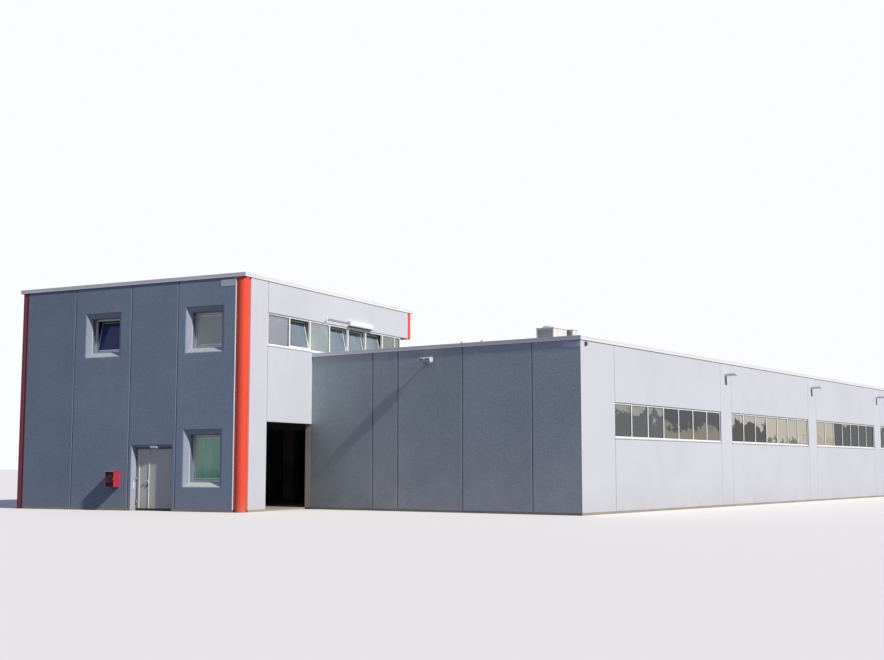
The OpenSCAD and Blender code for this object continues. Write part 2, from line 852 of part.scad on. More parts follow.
// The rounded awning box, slotted below, with its rod and the bracket at the rod's end
module awning_box() {
    rod_z = 0.6 * awning_h;
    color(frame_white) block_side() translate([0, 0, block_head + awning_up]) {
        section_bar(awning_u, awning_l) difference() {
            union() {
                translate([-awning_d + awning_round, 0]) square([awning_d - awning_round, awning_h]);
                translate([-awning_d, awning_round]) square([awning_d, awning_h - 2 * awning_round]);
                for (z = [awning_round, awning_h - awning_round])
                    translate([-awning_d + awning_round, z]) circle(r = awning_round, $fn = 48);
            }
            translate([-awning_d + awning_round, -1])
                square([awning_d - 2 * awning_round, awning_slot + 1]);
        }
        translate([awning_bracket_u, -awning_bracket[1], rod_z - awning_bracket[2] / 2])
            cube(awning_bracket);
        translate([awning_bracket_u + awning_bracket[0] - 1, -awning_bracket[1] / 2, rod_z])
            rotate([0, 90, 0]) cylinder(h = awning_u - awning_bracket_u - awning_bracket[0] + 2,
                r = awning_rod_r, $fn = 24);
    }
}

lamp_t = 38;
lamp_near = 22;
lamp_arm = 18;
lamp_plate = [56, 8, 110];
// Heights of the lamps' undersides below the hall's top
pier_lamp_drop = 300;
front_lamp_drop = 290;
front_lamp_x = 2860;
front_lamp_t = 84;
front_lamp_near = 50;
front_lamp_reach = 160;
front_lamp_gap = 15;

// A lamp head of width w and thickness t, flat on top, its front edge bevelled above and below
module lamp_head(u, w, near, reach, z, t) {
    lip = t / 4;
    section_bar(u - w / 2, w) polygon([[-near, z], [-near, z + t], [-reach + t, z + t],
        [-reach, z + t - lip], [-reach, z + lip], [-reach + lip, z]]);
}

// The plate on the wall and the arm of a lamp
module lamp_mount(u, near, z) {
    translate([u - lamp_plate[0] / 2, -lamp_plate[1], z - lamp_plate[2] / 2]) cube(lamp_plate);
    translate([u - lamp_arm / 2, -near - 1, z - lamp_arm / 2])
        cube([lamp_arm, near + 1 - lamp_plate[1] / 2, lamp_arm]);
}

module floodlights() {
    pier_z = hall_h - pier_lamp_drop;
    front_z = hall_h - front_lamp_drop;
    color(lamp_grey) {
        right_wall() for (i = [1 : bays - 1]) {
            lamp_mount(pier_u(i), lamp_near, pier_z + lamp_t / 2);
            lamp_head(pier_u(i), lamp_w, lamp_near, lamp_reach, pier_z, lamp_t);
        }
        place() {
            lamp_mount(-front_lamp_x, front_lamp_near, front_z + front_lamp_t / 2);
            translate([-front_lamp_x - lamp_w, -front_lamp_near - lamp_arm, front_z + front_lamp_t / 3])
                cube([2 * lamp_w, lamp_arm, front_lamp_t / 3]);
            for (s = [-1, 1])
                lamp_head(-front_lamp_x + s * (lamp_w + front_lamp_gap) / 2, lamp_w,
                    front_lamp_near + lamp_arm - 2, front_lamp_reach, front_z, front_lamp_t);
        }
    }
}

unit_rail = [50, 60];
unit_rim = 26;
unit_lid = 10;
louvres = 9;
louvre_t = 6;
louvre_set = 4;
cowl_r = 160;
cowl_h = 50;
cowl_t = 10;

// An air unit on two rails, w by d by h: louvres in the front and a lid that stands out
module air_unit(w, d, h) {
    depth = 36;
    pitch = (h - 2 * unit_rim) / louvres;
    for (x = [unit_rim, w - unit_rim - unit_rail[0]]) translate([x, 0, 0])
        cube([unit_rail[0], d, unit_rail[1] + 1]);
    translate([0, 0, unit_rail[1]]) {
        difference() {
            cube([w, d, h]);
            translate([unit_rim, -1, unit_rim]) cube([w - 2 * unit_rim, depth + 1, h - 2 * unit_rim]);
        }
        for (i = [0 : louvres - 1])
            section_bar(unit_rim - 1, w - 2 * unit_rim + 2) translate([0, unit_rim + i * pitch])
                polygon([[louvre_set, pitch / 5], [depth + 1, pitch / 2], [depth + 1, pitch / 2 + louvre_t],
                    [louvre_set, pitch / 5 + louvre_t]]);
        translate([-unit_lid, -unit_lid, h - 1]) cube([w + 2 * unit_lid, d + 2 * unit_lid, unit_lid + 1]);
    }
}

// Where the air units stand, from the hall's corner, and the second one's sizes
unit_at = [-1980, 2000];
second_unit_at = [-1950, 2530];
second_unit = [405, 170, 560];

module roof_units() {
    color(unit_white) place() translate([0, 0, hall_roof_z]) {
        translate(unit_at) {
            air_unit(unit_w, unit_d, unit_h);
            translate([unit_w / 2, unit_d / 2, unit_rail[1] + unit_h]) difference() {
                cylinder(h = cowl_h, r = cowl_r, $fn = 64);
                translate([0, 0, unit_lid]) cylinder(h = cowl_h, r = cowl_r - cowl_t, $fn = 64);
            }
        }
        translate(second_unit_at) air_unit(second_unit[0], second_unit[1], second_unit[2]);
    }
}

// Places of the roof vents from the hall's corner, and the height of their pipes
vent_x = [-2125, -2530];
vent_y = 500;
vent_pipe_h = 240;

// A pipe under a round cap with a domed top
module roof_vents() {
    cap_r = vent_dia / 2;
    color(unit_white) place() for (x = vent_x) translate([x, vent_y, hall_roof_z]) {
        cylinder(h = vent_pipe_h + 1, r = cap_r / 2, $fn = 32);
        translate([0, 0, vent_pipe_h]) rotate_extrude($fn = 48) {
            square([cap_r, cap_r]);
            translate([0, cap_r]) intersection() {
                circle(r = cap_r, $fn = 48);
                square([cap_r, cap_r]);
            }
        }
    }
}

hall_floor();
hall_plinth();
hall_front_panels();
hall_side_corner_panels();
hall_side_piers();
hall_side_lower_panels();
hall_side_upper_panels();
hall_window_frames();
hall_glass();
hall_left_panels();
hall_rear_panels();
posts();
hall_girders();
hall_roof();
hall_coping();
block_floor();
block_plinth();
front_panel_1();
front_panel_2();
door_side_panels();
door_head_panel();
front_panel_4();
block_side_panel();
side_spandrel_panel();
parapet_panels();
block_left_panels();
block_rear_panels();
corner_columns();
upper_floor();
block_roof();
block_coping();
ribbon_frame();
ribbon_sashes();
ribbon_glass();
front_window_frames();
front_window_sash();
front_window_glass();
door_frame();
narrow_door_leaf();
wide_door_leaf();
door_lamp();
hose_cabinet();
awning_box();
floodlights();
roof_units();
roof_vents();
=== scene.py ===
# Concrete supermarket at half size: wall finishes, window fittings, door gear, lamps and roof gear.
import math
import bmesh
import bpy
from mathutils import Matrix, Vector


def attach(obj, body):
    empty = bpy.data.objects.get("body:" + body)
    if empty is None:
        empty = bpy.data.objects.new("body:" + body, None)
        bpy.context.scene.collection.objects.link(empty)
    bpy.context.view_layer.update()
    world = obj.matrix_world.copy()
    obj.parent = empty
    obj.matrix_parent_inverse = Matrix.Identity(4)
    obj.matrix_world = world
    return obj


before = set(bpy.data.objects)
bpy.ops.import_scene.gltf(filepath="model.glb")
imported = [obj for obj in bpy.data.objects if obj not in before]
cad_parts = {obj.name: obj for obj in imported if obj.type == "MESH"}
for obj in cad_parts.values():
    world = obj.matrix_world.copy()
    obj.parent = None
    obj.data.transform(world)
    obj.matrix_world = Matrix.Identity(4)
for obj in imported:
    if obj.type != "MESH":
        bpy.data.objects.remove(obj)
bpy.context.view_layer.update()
print("frame loaded:", len(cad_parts), "nodes")

# Sizes that the walls share, in metres: the hall, then the block that stands askew in front of it
site = {
    "hallWide": 11.0, "hallLong": 20.925, "hallTop": 2.76, "corner": 1.125, "pier": 0.525,
    "bays": 4, "bayPitch": 4.8, "sill": 1.2, "ribbonHigh": 0.575, "panes": 7, "roof": 2.54,
    "blockX": 5.14, "blockY": 2.05, "skew": 8.4, "blockWide": 4.955, "blockTop": 3.944,
    "blockRoof": 3.45, "rear": 5.382, "blockSill": 2.79, "blockRibbonHigh": 0.56, "blockPane": 0.656,
    "narrowPane": 0.221, "sidePanel": 0.514, "cornerOpen": 0.178, "wall": 0.125,
    "joint": 0.012, "plinth": 0.04, "bar": 0.03, "frameFace": 0.02, "frameDeep": 0.034, "glass": 0.012,
    "coping": 0.066, "tilt": 12, "sashBar": 0.022, "sashDeep": 0.024,
}
ribbonLong = site["bayPitch"] - site["pier"]
hallPane = (ribbonLong - site["bar"]) / site["panes"]
hallHead = site["sill"] + site["ribbonHigh"]
sideJoint = site["cornerOpen"] + site["sidePanel"]
blockHead = site["blockSill"] + site["blockRibbonHigh"]
frameBack = site["frameFace"] + site["frameDeep"]

# The mouths of the front windows from their lower left corners, the tilted one last, and their depths
frontWindow = {"wide": 0.8, "splay": 0.085, "bar": 0.04, "glazing": 0.16,
               "mouths": [(-1.209, 0.40, 0.965), (-1.209, 2.64, 0.785), (-3.401, 2.64, 0.785)]}
frontEdge = frontWindow["splay"] + frontWindow["bar"]

# Each wall has a frame of its own: u along it, v inwards from its face, z up
quarterTurn = Matrix.Rotation(math.pi / 2, 4, "Z")
halfTurn = Matrix.Rotation(math.pi, 4, "Z")
flip = Matrix.Scale(-1, 4, (1, 0, 0))
hallFront = Matrix.Translation((site["hallWide"] / 2, -site["hallLong"] / 2, 0))
blockFront = (hallFront @ Matrix.Translation((-site["blockX"], -site["blockY"], 0))
              @ Matrix.Rotation(math.radians(site["skew"]), 4, "Z"))
hallRight = hallFront @ quarterTurn
hallLeft = hallFront @ Matrix.Translation((-site["hallWide"], 0, 0)) @ flip @ quarterTurn
hallRear = hallFront @ Matrix.Translation((0, site["hallLong"], 0)) @ halfTurn
blockSide = blockFront @ quarterTurn
blockLeft = blockFront @ Matrix.Translation((-site["blockWide"], 0, 0)) @ flip @ quarterTurn


# Mesh helpers


def addBox(bm, low, high, place=None):
    size = Vector(high) - Vector(low)
    made = bmesh.ops.create_cube(bm, size=1)["verts"]
    bmesh.ops.scale(bm, vec=size, verts=made)
    bmesh.ops.translate(bm, vec=Vector(low) + size / 2, verts=made)
    if place:
        bmesh.ops.transform(bm, matrix=place, verts=made)
    return made


def addRod(bm, start, end, radius, sides=16, place=None, endRadius=None):
    run = Vector(end) - Vector(start)
    made = bmesh.ops.create_cone(bm, cap_ends=True, segments=sides, radius1=radius, depth=run.length,
                                 radius2=radius if endRadius is None else endRadius)["verts"]
    turn = Vector((0, 0, 1)).rotation_difference(run).to_matrix().to_4x4()
    move = Matrix.Translation(Vector(start) + run / 2) @ turn
    bmesh.ops.transform(bm, matrix=(place @ move) if place else move, verts=made)
    return made


# A straight length of one outline: points in the plane where it starts, and the way that it runs
def addPrism(bm, outline, run, place=None):
    corners = [bm.verts.new(point) for point in outline]
    cap = bm.faces.new(corners)
    grown = bmesh.ops.extrude_face_region(bm, geom=[cap], use_keep_orig=True)["geom"]
    moved = [item for item in grown if isinstance(item, bmesh.types.BMVert)]
    bmesh.ops.translate(bm, vec=run, verts=moved)
    if place:
        bmesh.ops.transform(bm, matrix=place, verts=corners + moved)
    return corners + moved


# A strip along a wall from its section of (v, z) points
def addStrip(bm, section, start, end, wall):
    return addPrism(bm, [(start, v, z) for v, z in section], (end - start, 0, 0), wall)


# Four bars round an opening, wide inwards from its edge
def addRing(bm, place, opening, wide, front, back):
    left, right, low, high = opening
    addBox(bm, (left, front, low), (left + wide, back, high), place)
    addBox(bm, (right - wide, front, low), (right, back, high), place)
    addBox(bm, (left + wide, front, low), (right - wide, back, low + wide), place)
    addBox(bm, (left + wide, front, high - wide), (right - wide, back, high), place)


# A round bar bent to a ring
def addHoop(bm, centre, radius, thick, axis, place=None, steps=40, sides=8):
    made = bmesh.ops.create_circle(bm, segments=sides, radius=thick)["verts"]
    bmesh.ops.rotate(bm, cent=(0, 0, 0), matrix=Matrix.Rotation(math.pi / 2, 3, "X"), verts=made)
    bmesh.ops.translate(bm, vec=(radius, 0, 0), verts=made)
    edges = [e for e in bm.edges if e.verts[0] in made and e.verts[1] in made]
    before = set(bm.verts) - set(made)
    bmesh.ops.spin(bm, geom=edges, cent=(0, 0, 0), axis=(0, 0, 1), angle=math.tau, steps=steps,
                   use_merge=True)
    ring = [v for v in bm.verts if v not in before]
    turn = Vector((0, 0, 1)).rotation_difference(Vector(axis)).to_matrix().to_4x4()
    move = Matrix.Translation(centre) @ turn
    bmesh.ops.transform(bm, matrix=(place @ move) if place else move, verts=ring)
    return ring


def roundEdges(bm, width, verts=None, segments=2):
    inside = set(verts or bm.verts)
    edges = [e for e in bm.edges if e.verts[0] in inside and e.verts[1] in inside]
    bmesh.ops.bevel(bm, geom=edges, offset=width, offset_type="OFFSET", segments=segments, profile=0.5,
                    affect="EDGES", material=-1, clamp_overlap=True)


def finishPiece(bm, name, material, body="building"):
    bmesh.ops.recalc_face_normals(bm, faces=bm.faces)
    mesh = bpy.data.meshes.new(name)
    bm.to_mesh(mesh)
    bm.free()
    piece = bpy.data.objects.new(name, mesh)
    bpy.context.scene.collection.objects.link(piece)
    mesh.materials.append(made[material])
    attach(piece, body)
    return piece


# Material helpers


def startMaterial(name, sockets):
    material = bpy.data.materials.new(name)
    material.use_nodes = True
    shader = material.node_tree.nodes["Principled BSDF"]
    for socket, value in sockets.items():
        shader.inputs[socket].default_value = value
    return material, material.node_tree, shader


def addNode(tree, kind, settings=None, values=None, links=None):
    node = tree.nodes.new("ShaderNode" + kind)
    for key, value in (settings or {}).items():
        setattr(node, key, value)
    for socket, value in (values or {}).items():
        node.inputs[socket].default_value = value
    for socket, source in (links or {}).items():
        tree.links.new(source, node.inputs[socket])
    return node


def objectPlace(tree, scale=(1, 1, 1), turn=0):
    spot = addNode(tree, "TexCoord")
    return addNode(tree, "Mapping", values={"Scale": scale, "Rotation": (0, 0, turn)},
                   links={"Vector": spot.outputs["Object"]}).outputs["Vector"]


def noise(tree, place, scale, detail=3, rough=0.55):
    return addNode(tree, "TexNoise", values={"Scale": scale, "Detail": detail, "Roughness": rough},
                   links={"Vector": place}).outputs["Fac"]


def ranged(tree, source, low, high, toLow=0.0, toHigh=1.0):
    return addNode(tree, "MapRange", values={1: low, 2: high, 3: toLow, 4: toHigh},
                   links={0: source}).outputs[0]


def maths(tree, operation, first, second):
    node = addNode(tree, "Math", {"operation": operation})
    for index, item in enumerate((first, second)):
        if isinstance(item, (int, float)):
            node.inputs[index].default_value = item
        else:
            tree.links.new(item, node.inputs[index])
    return node.outputs[0]


def mixed(tree, factor, first, second, blend="MIX"):
    node = addNode(tree, "Mix", {"data_type": "RGBA", "blend_type": blend, "clamp_factor": True})
    for index, item in ((0, factor), (6, first), (7, second)):
        if isinstance(item, bpy.types.NodeSocket):
            tree.links.new(item, node.inputs[index])
        else:
            node.inputs[index].default_value = item if index == 0 else (*item, 1)
    return node.outputs[2]


def shaded(tree, colour, shade):
    grey = addNode(tree, "CombineColor", links={0: shade, 1: shade, 2: shade}).outputs[0]
    return mixed(tree, 1.0, colour, grey, "MULTIPLY")


def heightOf(tree):
    spot = addNode(tree, "TexCoord").outputs["Object"]
    return addNode(tree, "SeparateXYZ", links={0: spot}).outputs["Z"]


# Distance along one axis of a wall's own frame: 0 is u, 1 is v
def wallPlace(tree, wall, axis=0):
    spot = addNode(tree, "TexCoord").outputs["Object"]
    back = wall.inverted()
    along = addNode(tree, "VectorMath", {"operation": "DOT_PRODUCT"}, {1: tuple(back[axis][:3])},
                    {0: spot}).outputs["Value"]
    return maths(tree, "ADD", along, back[axis][3])


def stepped(tree, source, stops):
    ramp = addNode(tree, "ValToRGB", links={0: source})
    ramp.color_ramp.interpolation = "CONSTANT"
    points = ramp.color_ramp.elements
    for index, (place, colour) in enumerate(stops):
        point = points[index] if index < 2 else points.new(place)
        point.position = place
        point.color = colour
    return ramp.outputs["Color"], ramp.outputs["Alpha"]


# A thin line wherever the source comes back to a multiple of the step
def lineEvery(tree, source, step, wide):
    share = maths(tree, "FRACT", maths(tree, "DIVIDE", source, step), 0)
    wrapped = maths(tree, "ABSOLUTE", maths(tree, "SUBTRACT", share, 0.5), 0)
    return maths(tree, "GREATER_THAN", wrapped, 0.5 - wide / step / 2)


def bumped(tree, shader, height, strength, distance):
    bump = addNode(tree, "Bump", values={"Strength": strength, "Distance": distance},
                   links={"Height": height})
    tree.links.new(bump.outputs["Normal"], shader.inputs["Normal"])


# A mineral or painted surface: soft clouds, grain, run marks under the top edge and dust above the ground
def weathered(name, look):
    material, tree, shader = startMaterial(name, {
        "Roughness": look["rough"], "Metallic": look.get("metal", 0),
        "Specular IOR Level": look.get("specular", 0.4)})
    place = objectPlace(tree)
    base = look["colour"]
    darker = [c * (1 - look["cloud"]) for c in base]
    lighter = [min(1, c * (1 + look["cloud"] * 0.6)) for c in base]
    colour = mixed(tree, ranged(tree, noise(tree, place, look["cloudScale"], 4), 0.35, 0.65), darker, lighter)
    grain = noise(tree, place, look["grainScale"], 2, 0.7)
    colour = shaded(tree, colour, ranged(tree, grain, 0.3, 0.7, 1 - look["grain"], 1 + look["grain"] * 0.4))
    if look.get("runs"):
        top, reach = look["runsTop"], look["runsReach"]
        drips = ranged(tree, noise(tree, objectPlace(tree, (7, 7, 0.25)), 2.2, 3), 0.52, 0.72)
        near = ranged(tree, heightOf(tree), top - reach, top)
        colour = mixed(tree, maths(tree, "MULTIPLY", maths(tree, "MULTIPLY", drips, near), look["runs"]),
                       colour, [c * 0.55 for c in base])
    if look.get("dust"):
        low = ranged(tree, heightOf(tree), look["dustTop"], 0.0)
        patches = ranged(tree, noise(tree, place, 3.5, 4), 0.3, 0.7, 0.3, 1)
        colour = mixed(tree, maths(tree, "MULTIPLY", maths(tree, "MULTIPLY", low, patches), look["dust"]),
                       colour, look["dustColour"])
    tree.links.new(colour, shader.inputs["Base Color"])
    bumped(tree, shader, grain, look["bump"], look["bumpDeep"])
    return material


dustTan = (0.42, 0.35, 0.27)
looks = {
    "sidePaint": {"colour": (0.645, 0.672, 0.725), "rough": 0.85, "cloud": 0.035, "cloudScale": 0.8,
                  "grain": 0.03, "grainScale": 60, "bump": 0.25, "bumpDeep": 0.004, "runs": 0.05,
                  "runsTop": 2.7, "runsReach": 0.9, "dust": 0.28, "dustTop": 0.45, "dustColour": dustTan},
    # The panels of the fronts and rear walls have the sides' paint, painted darker and bluer as the shade on
    # those faces
    "shadedBlockPaint": {"colour": (0.277, 0.357, 0.452), "rough": 0.92, "cloud": 0.07, "cloudScale": 0.7,
                   "grain": 0.16, "grainScale": 42, "bump": 0.5, "bumpDeep": 0.006, "runs": 0.12,
                   "runsTop": 3.8, "runsReach": 1.4, "dust": 0.3, "dustTop": 0.4, "dustColour": dustTan,
                   "specular": 0.2},
    "shadedHallPaint": {"colour": (0.46, 0.545, 0.575), "rough": 0.92, "cloud": 0.06, "cloudScale": 0.7,
                  "grain": 0.14, "grainScale": 42, "bump": 0.5, "bumpDeep": 0.006, "runs": 0.12,
                  # Here the dust is a pale colour mixed in up to 1.5 m, so these panels grow lighter towards
                  # the ground
                  "runsTop": 2.7, "runsReach": 1.0, "dust": 0.5, "dustTop": 1.5,
                  "dustColour": (0.85, 0.80, 0.76),
                  "specular": 0.2},
    "concrete": {"colour": (0.40, 0.37, 0.32), "rough": 0.9, "cloud": 0.18, "cloudScale": 1.6,
                 "grain": 0.2, "grainScale": 55, "bump": 0.5, "bumpDeep": 0.006, "dust": 0.5, "dustTop": 0.2,
                 "dustColour": dustTan},
    "hallCoping": {"colour": (0.84, 0.85, 0.86), "rough": 0.42, "cloud": 0.03, "cloudScale": 0.9,
                   "grain": 0.02, "grainScale": 30, "bump": 0.08, "bumpDeep": 0.002, "specular": 0.15},
    "blockCoping": {"colour": (0.84, 0.85, 0.86), "rough": 0.42, "cloud": 0.03, "cloudScale": 0.9,
                    "grain": 0.02, "grainScale": 30, "bump": 0.08, "bumpDeep": 0.002, "specular": 0.15},
    "columnRed": {"colour": (0.93, 0.095, 0.045), "rough": 0.45, "cloud": 0.04, "cloudScale": 1.0,
                  "grain": 0.03, "grainScale": 50, "bump": 0.08, "bumpDeep": 0.002, "specular": 0.25,
                  "dust": 0.35, "dustTop": 0.35, "dustColour": dustTan},
    "white": {"colour": (0.87, 0.885, 0.87), "rough": 0.35, "cloud": 0.02, "cloudScale": 2.0, "grain": 0.02,
              "grainScale": 60, "bump": 0.05, "bumpDeep": 0.001, "specular": 0.5},
    "frameGrey": {"colour": (0.72, 0.78, 0.76), "rough": 0.4, "cloud": 0.03, "cloudScale": 2.0, "grain": 0.03,
                  "grainScale": 60, "bump": 0.05, "bumpDeep": 0.001, "metal": 0.2},
    "sashGrey": {"colour": (0.76, 0.77, 0.73), "rough": 0.4, "cloud": 0.03, "cloudScale": 2.0, "grain": 0.03,
                 "grainScale": 60, "bump": 0.05, "bumpDeep": 0.001, "metal": 0.2},
    "doorPaint": {"colour": (0.68, 0.69, 0.64), "rough": 0.45, "cloud": 0.05, "cloudScale": 2.5,
                  "grain": 0.03, "grainScale": 70, "bump": 0.08, "bumpDeep": 0.001, "dust": 0.35,
                  "dustTop": 0.3, "dustColour": dustTan},
    "doorFrame": {"colour": (0.20, 0.22, 0.235), "rough": 0.45, "cloud": 0.05, "cloudScale": 2.5,
                  "grain": 0.03, "grainScale": 70, "bump": 0.08, "bumpDeep": 0.001, "dust": 0.35,
                  "dustTop": 0.2, "dustColour": dustTan},
    "roofFelt": {"colour": (0.30, 0.30, 0.30), "rough": 0.95, "cloud": 0.15, "cloudScale": 0.6,
                 "grain": 0.2, "grainScale": 80, "bump": 0.5, "bumpDeep": 0.004},
    "unitWhite": {"colour": (0.86, 0.865, 0.84), "rough": 0.4, "cloud": 0.05, "cloudScale": 3.0,
                  "grain": 0.04, "grainScale": 60, "bump": 0.06, "bumpDeep": 0.001, "runs": 0.2,
                  "runsTop": 3.1, "runsReach": 0.4},
    "cabinetRed": {"colour": (0.53, 0.035, 0.065), "rough": 0.3, "cloud": 0.04, "cloudScale": 4.0,
                   "grain": 0.03, "grainScale": 80, "bump": 0.05, "bumpDeep": 0.001},
    "lampGrey": {"colour": (0.72, 0.73, 0.72), "rough": 0.45, "cloud": 0.05, "cloudScale": 6, "grain": 0.05,
                 "grainScale": 90, "bump": 0.1, "bumpDeep": 0.001},
    "darkMetal": {"colour": (0.05, 0.05, 0.055), "rough": 0.5, "cloud": 0.08, "cloudScale": 6, "grain": 0.05,
                  "grainScale": 90, "bump": 0.1, "bumpDeep": 0.001},
    "steel": {"colour": (0.55, 0.56, 0.57), "rough": 0.35, "cloud": 0.05, "cloudScale": 5, "grain": 0.06,
              "grainScale": 80, "bump": 0.08, "bumpDeep": 0.001, "metal": 0.8},
    "rubber": {"colour": (0.045, 0.048, 0.05), "rough": 0.75, "cloud": 0.1, "cloudScale": 5, "grain": 0.08,
               "grainScale": 90, "bump": 0.2, "bumpDeep": 0.001},
    "sealant": {"colour": (0.10, 0.115, 0.14), "rough": 0.8, "cloud": 0.1, "cloudScale": 2, "grain": 0.08,
                "grainScale": 70, "bump": 0.2, "bumpDeep": 0.002},
    "coil": {"colour": (0.80, 0.81, 0.78), "rough": 0.6, "cloud": 0.05, "cloudScale": 5, "grain": 0.10,
             "grainScale": 160, "bump": 0.3, "bumpDeep": 0.001},
    "innerBoard": {"colour": (0.76, 0.78, 0.55), "rough": 0.85, "cloud": 0.12, "cloudScale": 3, "grain": 0.05,
                   "grainScale": 90, "bump": 0.1, "bumpDeep": 0.001},
    "blind": {"colour": (0.72, 0.75, 0.77), "rough": 0.8, "cloud": 0.04, "cloudScale": 3, "grain": 0.05,
              "grainScale": 200, "bump": 0.2, "bumpDeep": 0.001},
    "slat": {"colour": (0.82, 0.88, 0.84), "rough": 0.8, "cloud": 0.04, "cloudScale": 3, "grain": 0.05,
             "grainScale": 200, "bump": 0.2, "bumpDeep": 0.001},
    "plate": {"colour": (0.60, 0.63, 0.78), "rough": 0.4, "cloud": 0.03, "cloudScale": 4, "grain": 0.03,
              "grainScale": 90, "bump": 0.05, "bumpDeep": 0.001},
}
made = {name: weathered(name, look) for name, look in looks.items()}


# What a finish has on top of its weathered base


def recoloured(name, change):
    tree = made[name].node_tree
    shader = tree.nodes["Principled BSDF"]
    old = shader.inputs["Base Color"].links[0].from_socket
    tree.links.new(change(tree, old), shader.inputs["Base Color"])


# Butt joints of the folded caps, and a thin dark line along the fold, painted shade of its crease
copingLines = {"step": 1.5, "wide": 0.008, "fold": 0.024, "foldShadeWide": 0.007, "dark": 0.45,
               "tint": (0.3, 0.28, 0.27), "shift": (-0.4, -0.6, 0)}


def jointedCoping(wall, top):
    def change(tree, old):
        across = [lineEvery(tree, wallPlace(tree, wall, axis), copingLines["step"], copingLines["wide"])
                  for axis in (0, 1)]
        depth = maths(tree, "SUBTRACT", top - copingLines["fold"], heightOf(tree))
        fold = maths(tree, "LESS_THAN", maths(tree, "ABSOLUTE", depth, 0), copingLines["foldShadeWide"] / 2)
        marks = maths(tree, "MAXIMUM", maths(tree, "MAXIMUM", across[0], across[1]), fold)
        return mixed(tree, maths(tree, "MULTIPLY", marks, copingLines["dark"]), old, copingLines["tint"])
    return change


copingShift = Matrix.Translation(copingLines["shift"])
recoloured("hallCoping", jointedCoping(hallFront @ copingShift, site["hallTop"]))
recoloured("blockCoping", jointedCoping(blockFront @ copingShift, site["blockTop"]))


# Each panel of a front gets a tone of its own: darker at the far end, mostly lighter towards the near corner
panelTones = {"block": [(-4.777, 0.93), (-3.643, 1.0), (-2.375, 0.98), (-1.367, 1.1)],
              "hall": [(-5.5, 0.87), (-4.065, 0.92), (-3.525, 0.98), (-2.2, 1.05), (-0.875, 1.1)]}


def tonedPanels(wall, tones):
    def change(tree, old):
        start = tones[0][0]
        share = ranged(tree, wallPlace(tree, wall), start, 0.0)
        stops = [(1 - edge / start, (tone / 2, tone / 2, tone / 2, 1)) for edge, tone in tones]
        toned = mixed(tree, 1.0, old, stepped(tree, share, stops)[0], "MULTIPLY")
        isFront = maths(tree, "LESS_THAN", wallPlace(tree, wall, 1), 1.0)
        return mixed(tree, isFront, old, mixed(tree, 1.0, toned, (2, 2, 2), "MULTIPLY"))
    return change


recoloured("shadedBlockPaint", tonedPanels(blockFront, panelTones["block"]))
recoloured("shadedHallPaint", tonedPanels(hallFront, panelTones["hall"]))


# The column at the far left is painted a deep crimson as the shade it stands in
farColumnShade = {"before": -4.6, "share": 0.9, "colour": (0.26, 0.045, 0.075)}


def paintFarColumnShade(tree, old):
    isFar = maths(tree, "LESS_THAN", wallPlace(tree, blockFront), farColumnShade["before"])
    return mixed(tree, maths(tree, "MULTIPLY", isFar, farColumnShade["share"]), old, farColumnShade["colour"])


recoloured("columnRed", paintFarColumnShade)


# The splayed reveals are painted lighter and less blue than the panels' shaded faces, as the light falling
# into them, and the upward faces of their sills are painted paler still as sunlight on them, most on the
# lower window
reveal = {"tint": (0.74, 0.63, 0.605), "from": 0.010, "dust": (0.65, 0.70, 0.62), "sillLight": 0.5,
          "sillLightLow": 0.9}


def paintedLitReveals(tree, old):
    inside = maths(tree, "GREATER_THAN", wallPlace(tree, blockFront, 1), reveal["from"])
    half = mixed(tree, 1.0, old, reveal["tint"], "MULTIPLY")
    pale = mixed(tree, 1.0, half, (2, 2, 2), "MULTIPLY")
    facing = addNode(tree, "SeparateXYZ", links={0: addNode(tree, "NewGeometry").outputs["Normal"]})
    # The sills' pale dust colour is painted sunlight on faces that look up, stronger low down
    amount = ranged(tree, heightOf(tree), 1.5, 2.0, reveal["sillLightLow"], reveal["sillLight"])
    sillLight = maths(tree, "MULTIPLY", ranged(tree, facing.outputs["Z"], 0.3, 0.5), amount)
    return mixed(tree, inside, old, mixed(tree, sillLight, pale, reveal["dust"]))


recoloured("shadedBlockPaint", paintedLitReveals)


# The lining of a front window is darker than the bars at its rear end
lining = {"end": frontWindow["glazing"] - 0.001, "colour": (0.20, 0.25, 0.33)}


def darkLining(tree, old):
    ahead = maths(tree, "LESS_THAN", wallPlace(tree, blockFront, 1), lining["end"])
    return mixed(tree, ahead, old, lining["colour"])


recoloured("frameGrey", darkLining)


# The hose cabinet's front frame is painted dark, as the shade on its front
cabinetFrontShade = {"end": -0.1495, "colour": (0.07, 0.02, 0.03)}


def paintedFrontShade(tree, old):
    ahead = maths(tree, "LESS_THAN", wallPlace(tree, blockFront, 1), cabinetFrontShade["end"])
    return mixed(tree, ahead, old, cabinetFrontShade["colour"])


recoloured("cabinetRed", paintedFrontShade)


# The roofing lies in rolls, with dark seams between them
felt = {"long": 5.0, "wide": 0.5, "seam": 0.012, "soft": 0.6, "colour": (0.12, 0.12, 0.12)}


def seamedFelt(tree, old):
    brick = addNode(tree, "TexBrick", values={"Scale": 1, "Mortar Size": felt["seam"],
                                              "Mortar Smooth": felt["soft"], "Brick Width": felt["long"],
                                              "Row Height": felt["wide"]},
                    links={"Vector": objectPlace(tree)})
    return mixed(tree, brick.outputs["Fac"], old, felt["colour"])


recoloured("roofFelt", seamedFelt)


# Glass: what shows in each pane differs, so tint and density are read along the wall


